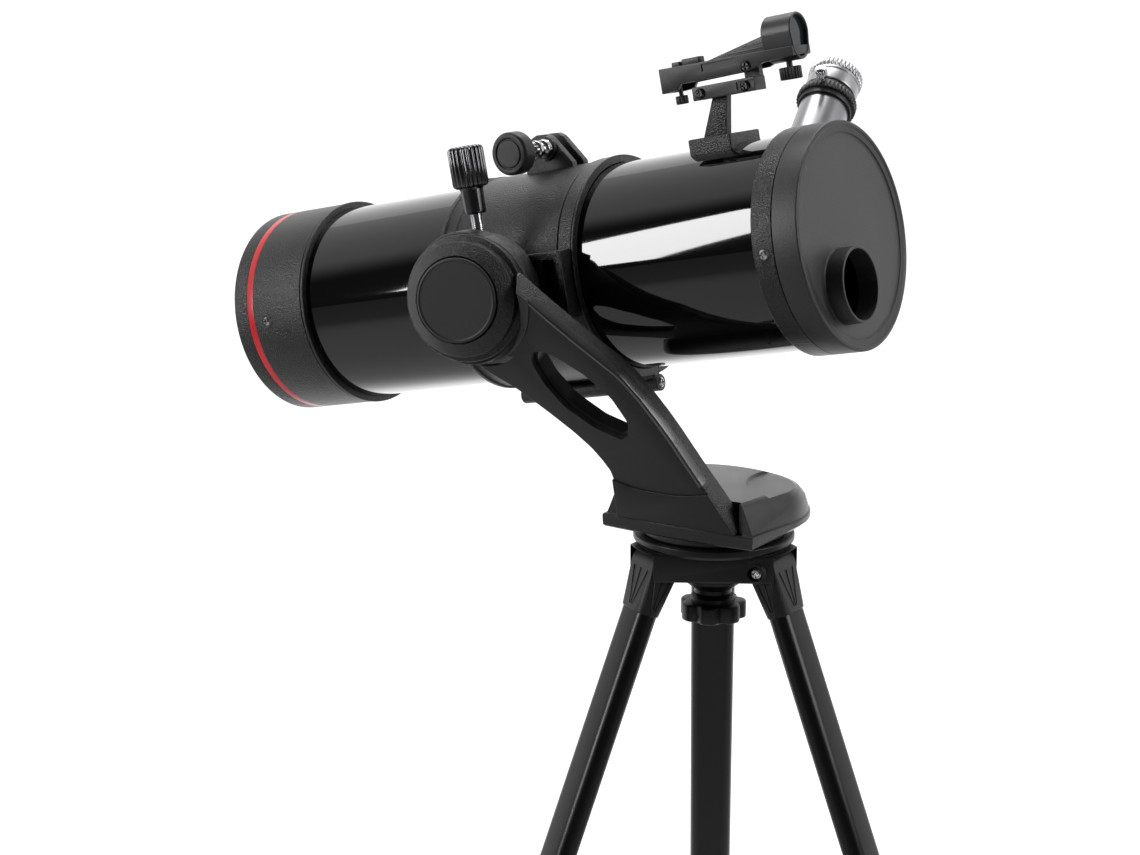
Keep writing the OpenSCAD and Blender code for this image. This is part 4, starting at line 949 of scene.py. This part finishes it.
# ---------- studio, in metres ----------
BEHIND = Vector((-0.557, 0.83, 0.0))      # the way the camera looks, level
SIDEWAYS = Vector((0.83, 0.557, 0.0))
CAMERA_AT = (0.7127, -1.2367, 1.2847)
CAMERA_YAW, CAMERA_PITCH, CAMERA_ROLL = 123.88, 13.01, -0.26
FLOOR_NEAR, FLOOR_FLAT, FLOOR_BEND, FLOOR_TOP, FLOOR_HALF = -9, 7, 3, 9, 14
FLOOR_GREY = 0.44


def ramp_behind(tree, coords, output, limits):
    """A smooth ramp along BEHIND from one coordinate output."""
    along = node(tree, "VectorMath", operation="DOT_PRODUCT")
    along.inputs[1].default_value = BEHIND
    tree.links.new(coords.outputs[output], along.inputs[0])
    ramp = node(tree, "MapRange", zip(("From Min", "From Max", "To Min", "To Max"), limits),
                interpolation_type="SMOOTHSTEP")
    tree.links.new(along.outputs["Value"], ramp.inputs["Value"])
    return ramp.outputs["Result"]


def make_floor():
    """Paper that lies flat under the object and bends up far behind it, where it glows white."""
    rows = [(FLOOR_NEAR, 0), (FLOOR_FLAT, 0)]
    bend = 12
    for k in range(1, bend + 1):
        a = pi / 2 * k / bend
        rows.append((FLOOR_FLAT + FLOOR_BEND * sin(a), FLOOR_BEND - FLOOR_BEND * cos(a)))
    rows.append((FLOOR_FLAT + FLOOR_BEND, FLOOR_TOP))
    bm = bmesh.new()
    lines = [[bm.verts.new(BEHIND * along + SIDEWAYS * across + Vector((0, 0, z)))
              for across in (-FLOOR_HALF, FLOOR_HALF)] for along, z in rows]
    for low, high in zip(lines, lines[1:]):
        bm.faces.new([low[0], low[1], high[1], high[0]])
    data = bpy.data.meshes.new("floor")
    bm.to_mesh(data)
    bm.free()
    data.shade_smooth()
    paper = bpy.data.materials.new("paper_white")
    paper.use_nodes = True
    tree = paper.node_tree
    shader = fill(tree.nodes["Principled BSDF"], [("Base Color", (FLOOR_GREY, FLOOR_GREY, FLOOR_GREY, 1)),
                                                  ("Roughness", 0.85), ("Emission Color", (1, 1, 1, 1))])
    glow = ramp_behind(tree, node(tree, "TexCoord"), "Object", (0.5, 1.35, 0.0, 0.95))
    tree.links.new(glow, shader.inputs["Emission Strength"])
    data.materials.append(paper)
    linked("floor", data)


def softbox(name, place, target, width, height, power):
    light = bpy.data.lights.new(name, "AREA")
    light.shape = "RECTANGLE"
    light.size, light.size_y = width, height
    light.energy = power
    made = linked(name, light)
    made.location = place
    made.rotation_euler = (Vector(target) - Vector(place)).to_track_quat("-Z", "Y").to_euler()
    made.visible_camera = False


def make_world():
    """White to look at, and a soft light that comes from behind and above and leaves the front dim."""
    world = bpy.data.worlds.new("studio")
    bpy.context.scene.world = world
    world.use_nodes = True
    tree = world.node_tree
    white = [("Color", (1, 1, 1, 1))]
    seen, shed = fill(tree.nodes["Background"], white), node(tree, "Background", white)
    tree.links.new(ramp_behind(tree, node(tree, "TexCoord"), "Generated", (-0.12, 0.12, 0.05, 0.7)),
                   shed.inputs["Strength"])
    path, mix = node(tree, "LightPath"), node(tree, "MixShader")
    tree.links.new(path.outputs["Is Camera Ray"], mix.inputs[0])
    tree.links.new(shed.outputs["Background"], mix.inputs[1])
    tree.links.new(seen.outputs["Background"], mix.inputs[2])
    tree.links.new(mix.outputs["Shader"], tree.nodes["World Output"].inputs["Surface"])


def make_lights():
    softbox("front_strip", (-1.5, -1.94, 1.79), (0, -0.07, 1.07), 0.5, 1.48, 35)
    softbox("top_back", BEHIND * 0.9 + Vector((0, 0, 3.0)), (0, 0, 1), 1.6, 1.2, 34)
    softbox("right_side", (2.3, 0.5, 2.1), (0, 0, 1), 1.3, 1.5, 36)
    bpy.context.scene.view_settings.view_transform = "Standard"


def make_camera():
    camera = bpy.data.cameras.new("camera")
    camera.sensor_width = 36
    camera.lens = 68.4
    camera.clip_start, camera.clip_end = 0.05, 60
    made = linked("camera", camera)
    yaw, pitch, roll = (radians(a) for a in (CAMERA_YAW, CAMERA_PITCH, CAMERA_ROLL))
    ahead = Vector((cos(yaw) * cos(pitch), sin(yaw) * cos(pitch), -sin(pitch)))
    right = ahead.cross(Vector((0, 0, 1))).normalized()
    up = right.cross(ahead)
    x = right * cos(roll) + up * sin(roll)
    y = up * cos(roll) - right * sin(roll)
    made.matrix_world = Matrix.Translation(CAMERA_AT) @ Matrix((x, y, -ahead)).transposed().to_4x4()
    bpy.context.scene.camera = made


make_tube()
make_front_ring()
make_rear_ring()
make_cap()
make_focuser()
make_finder()
make_cradle()
make_arm()
make_hub()
make_base()
make_head()
make_hand_knob()
for number in (1, 2, 3):
    make_leg(number)
dress_carried()
make_floor()
make_world()
make_lights()
make_camera()
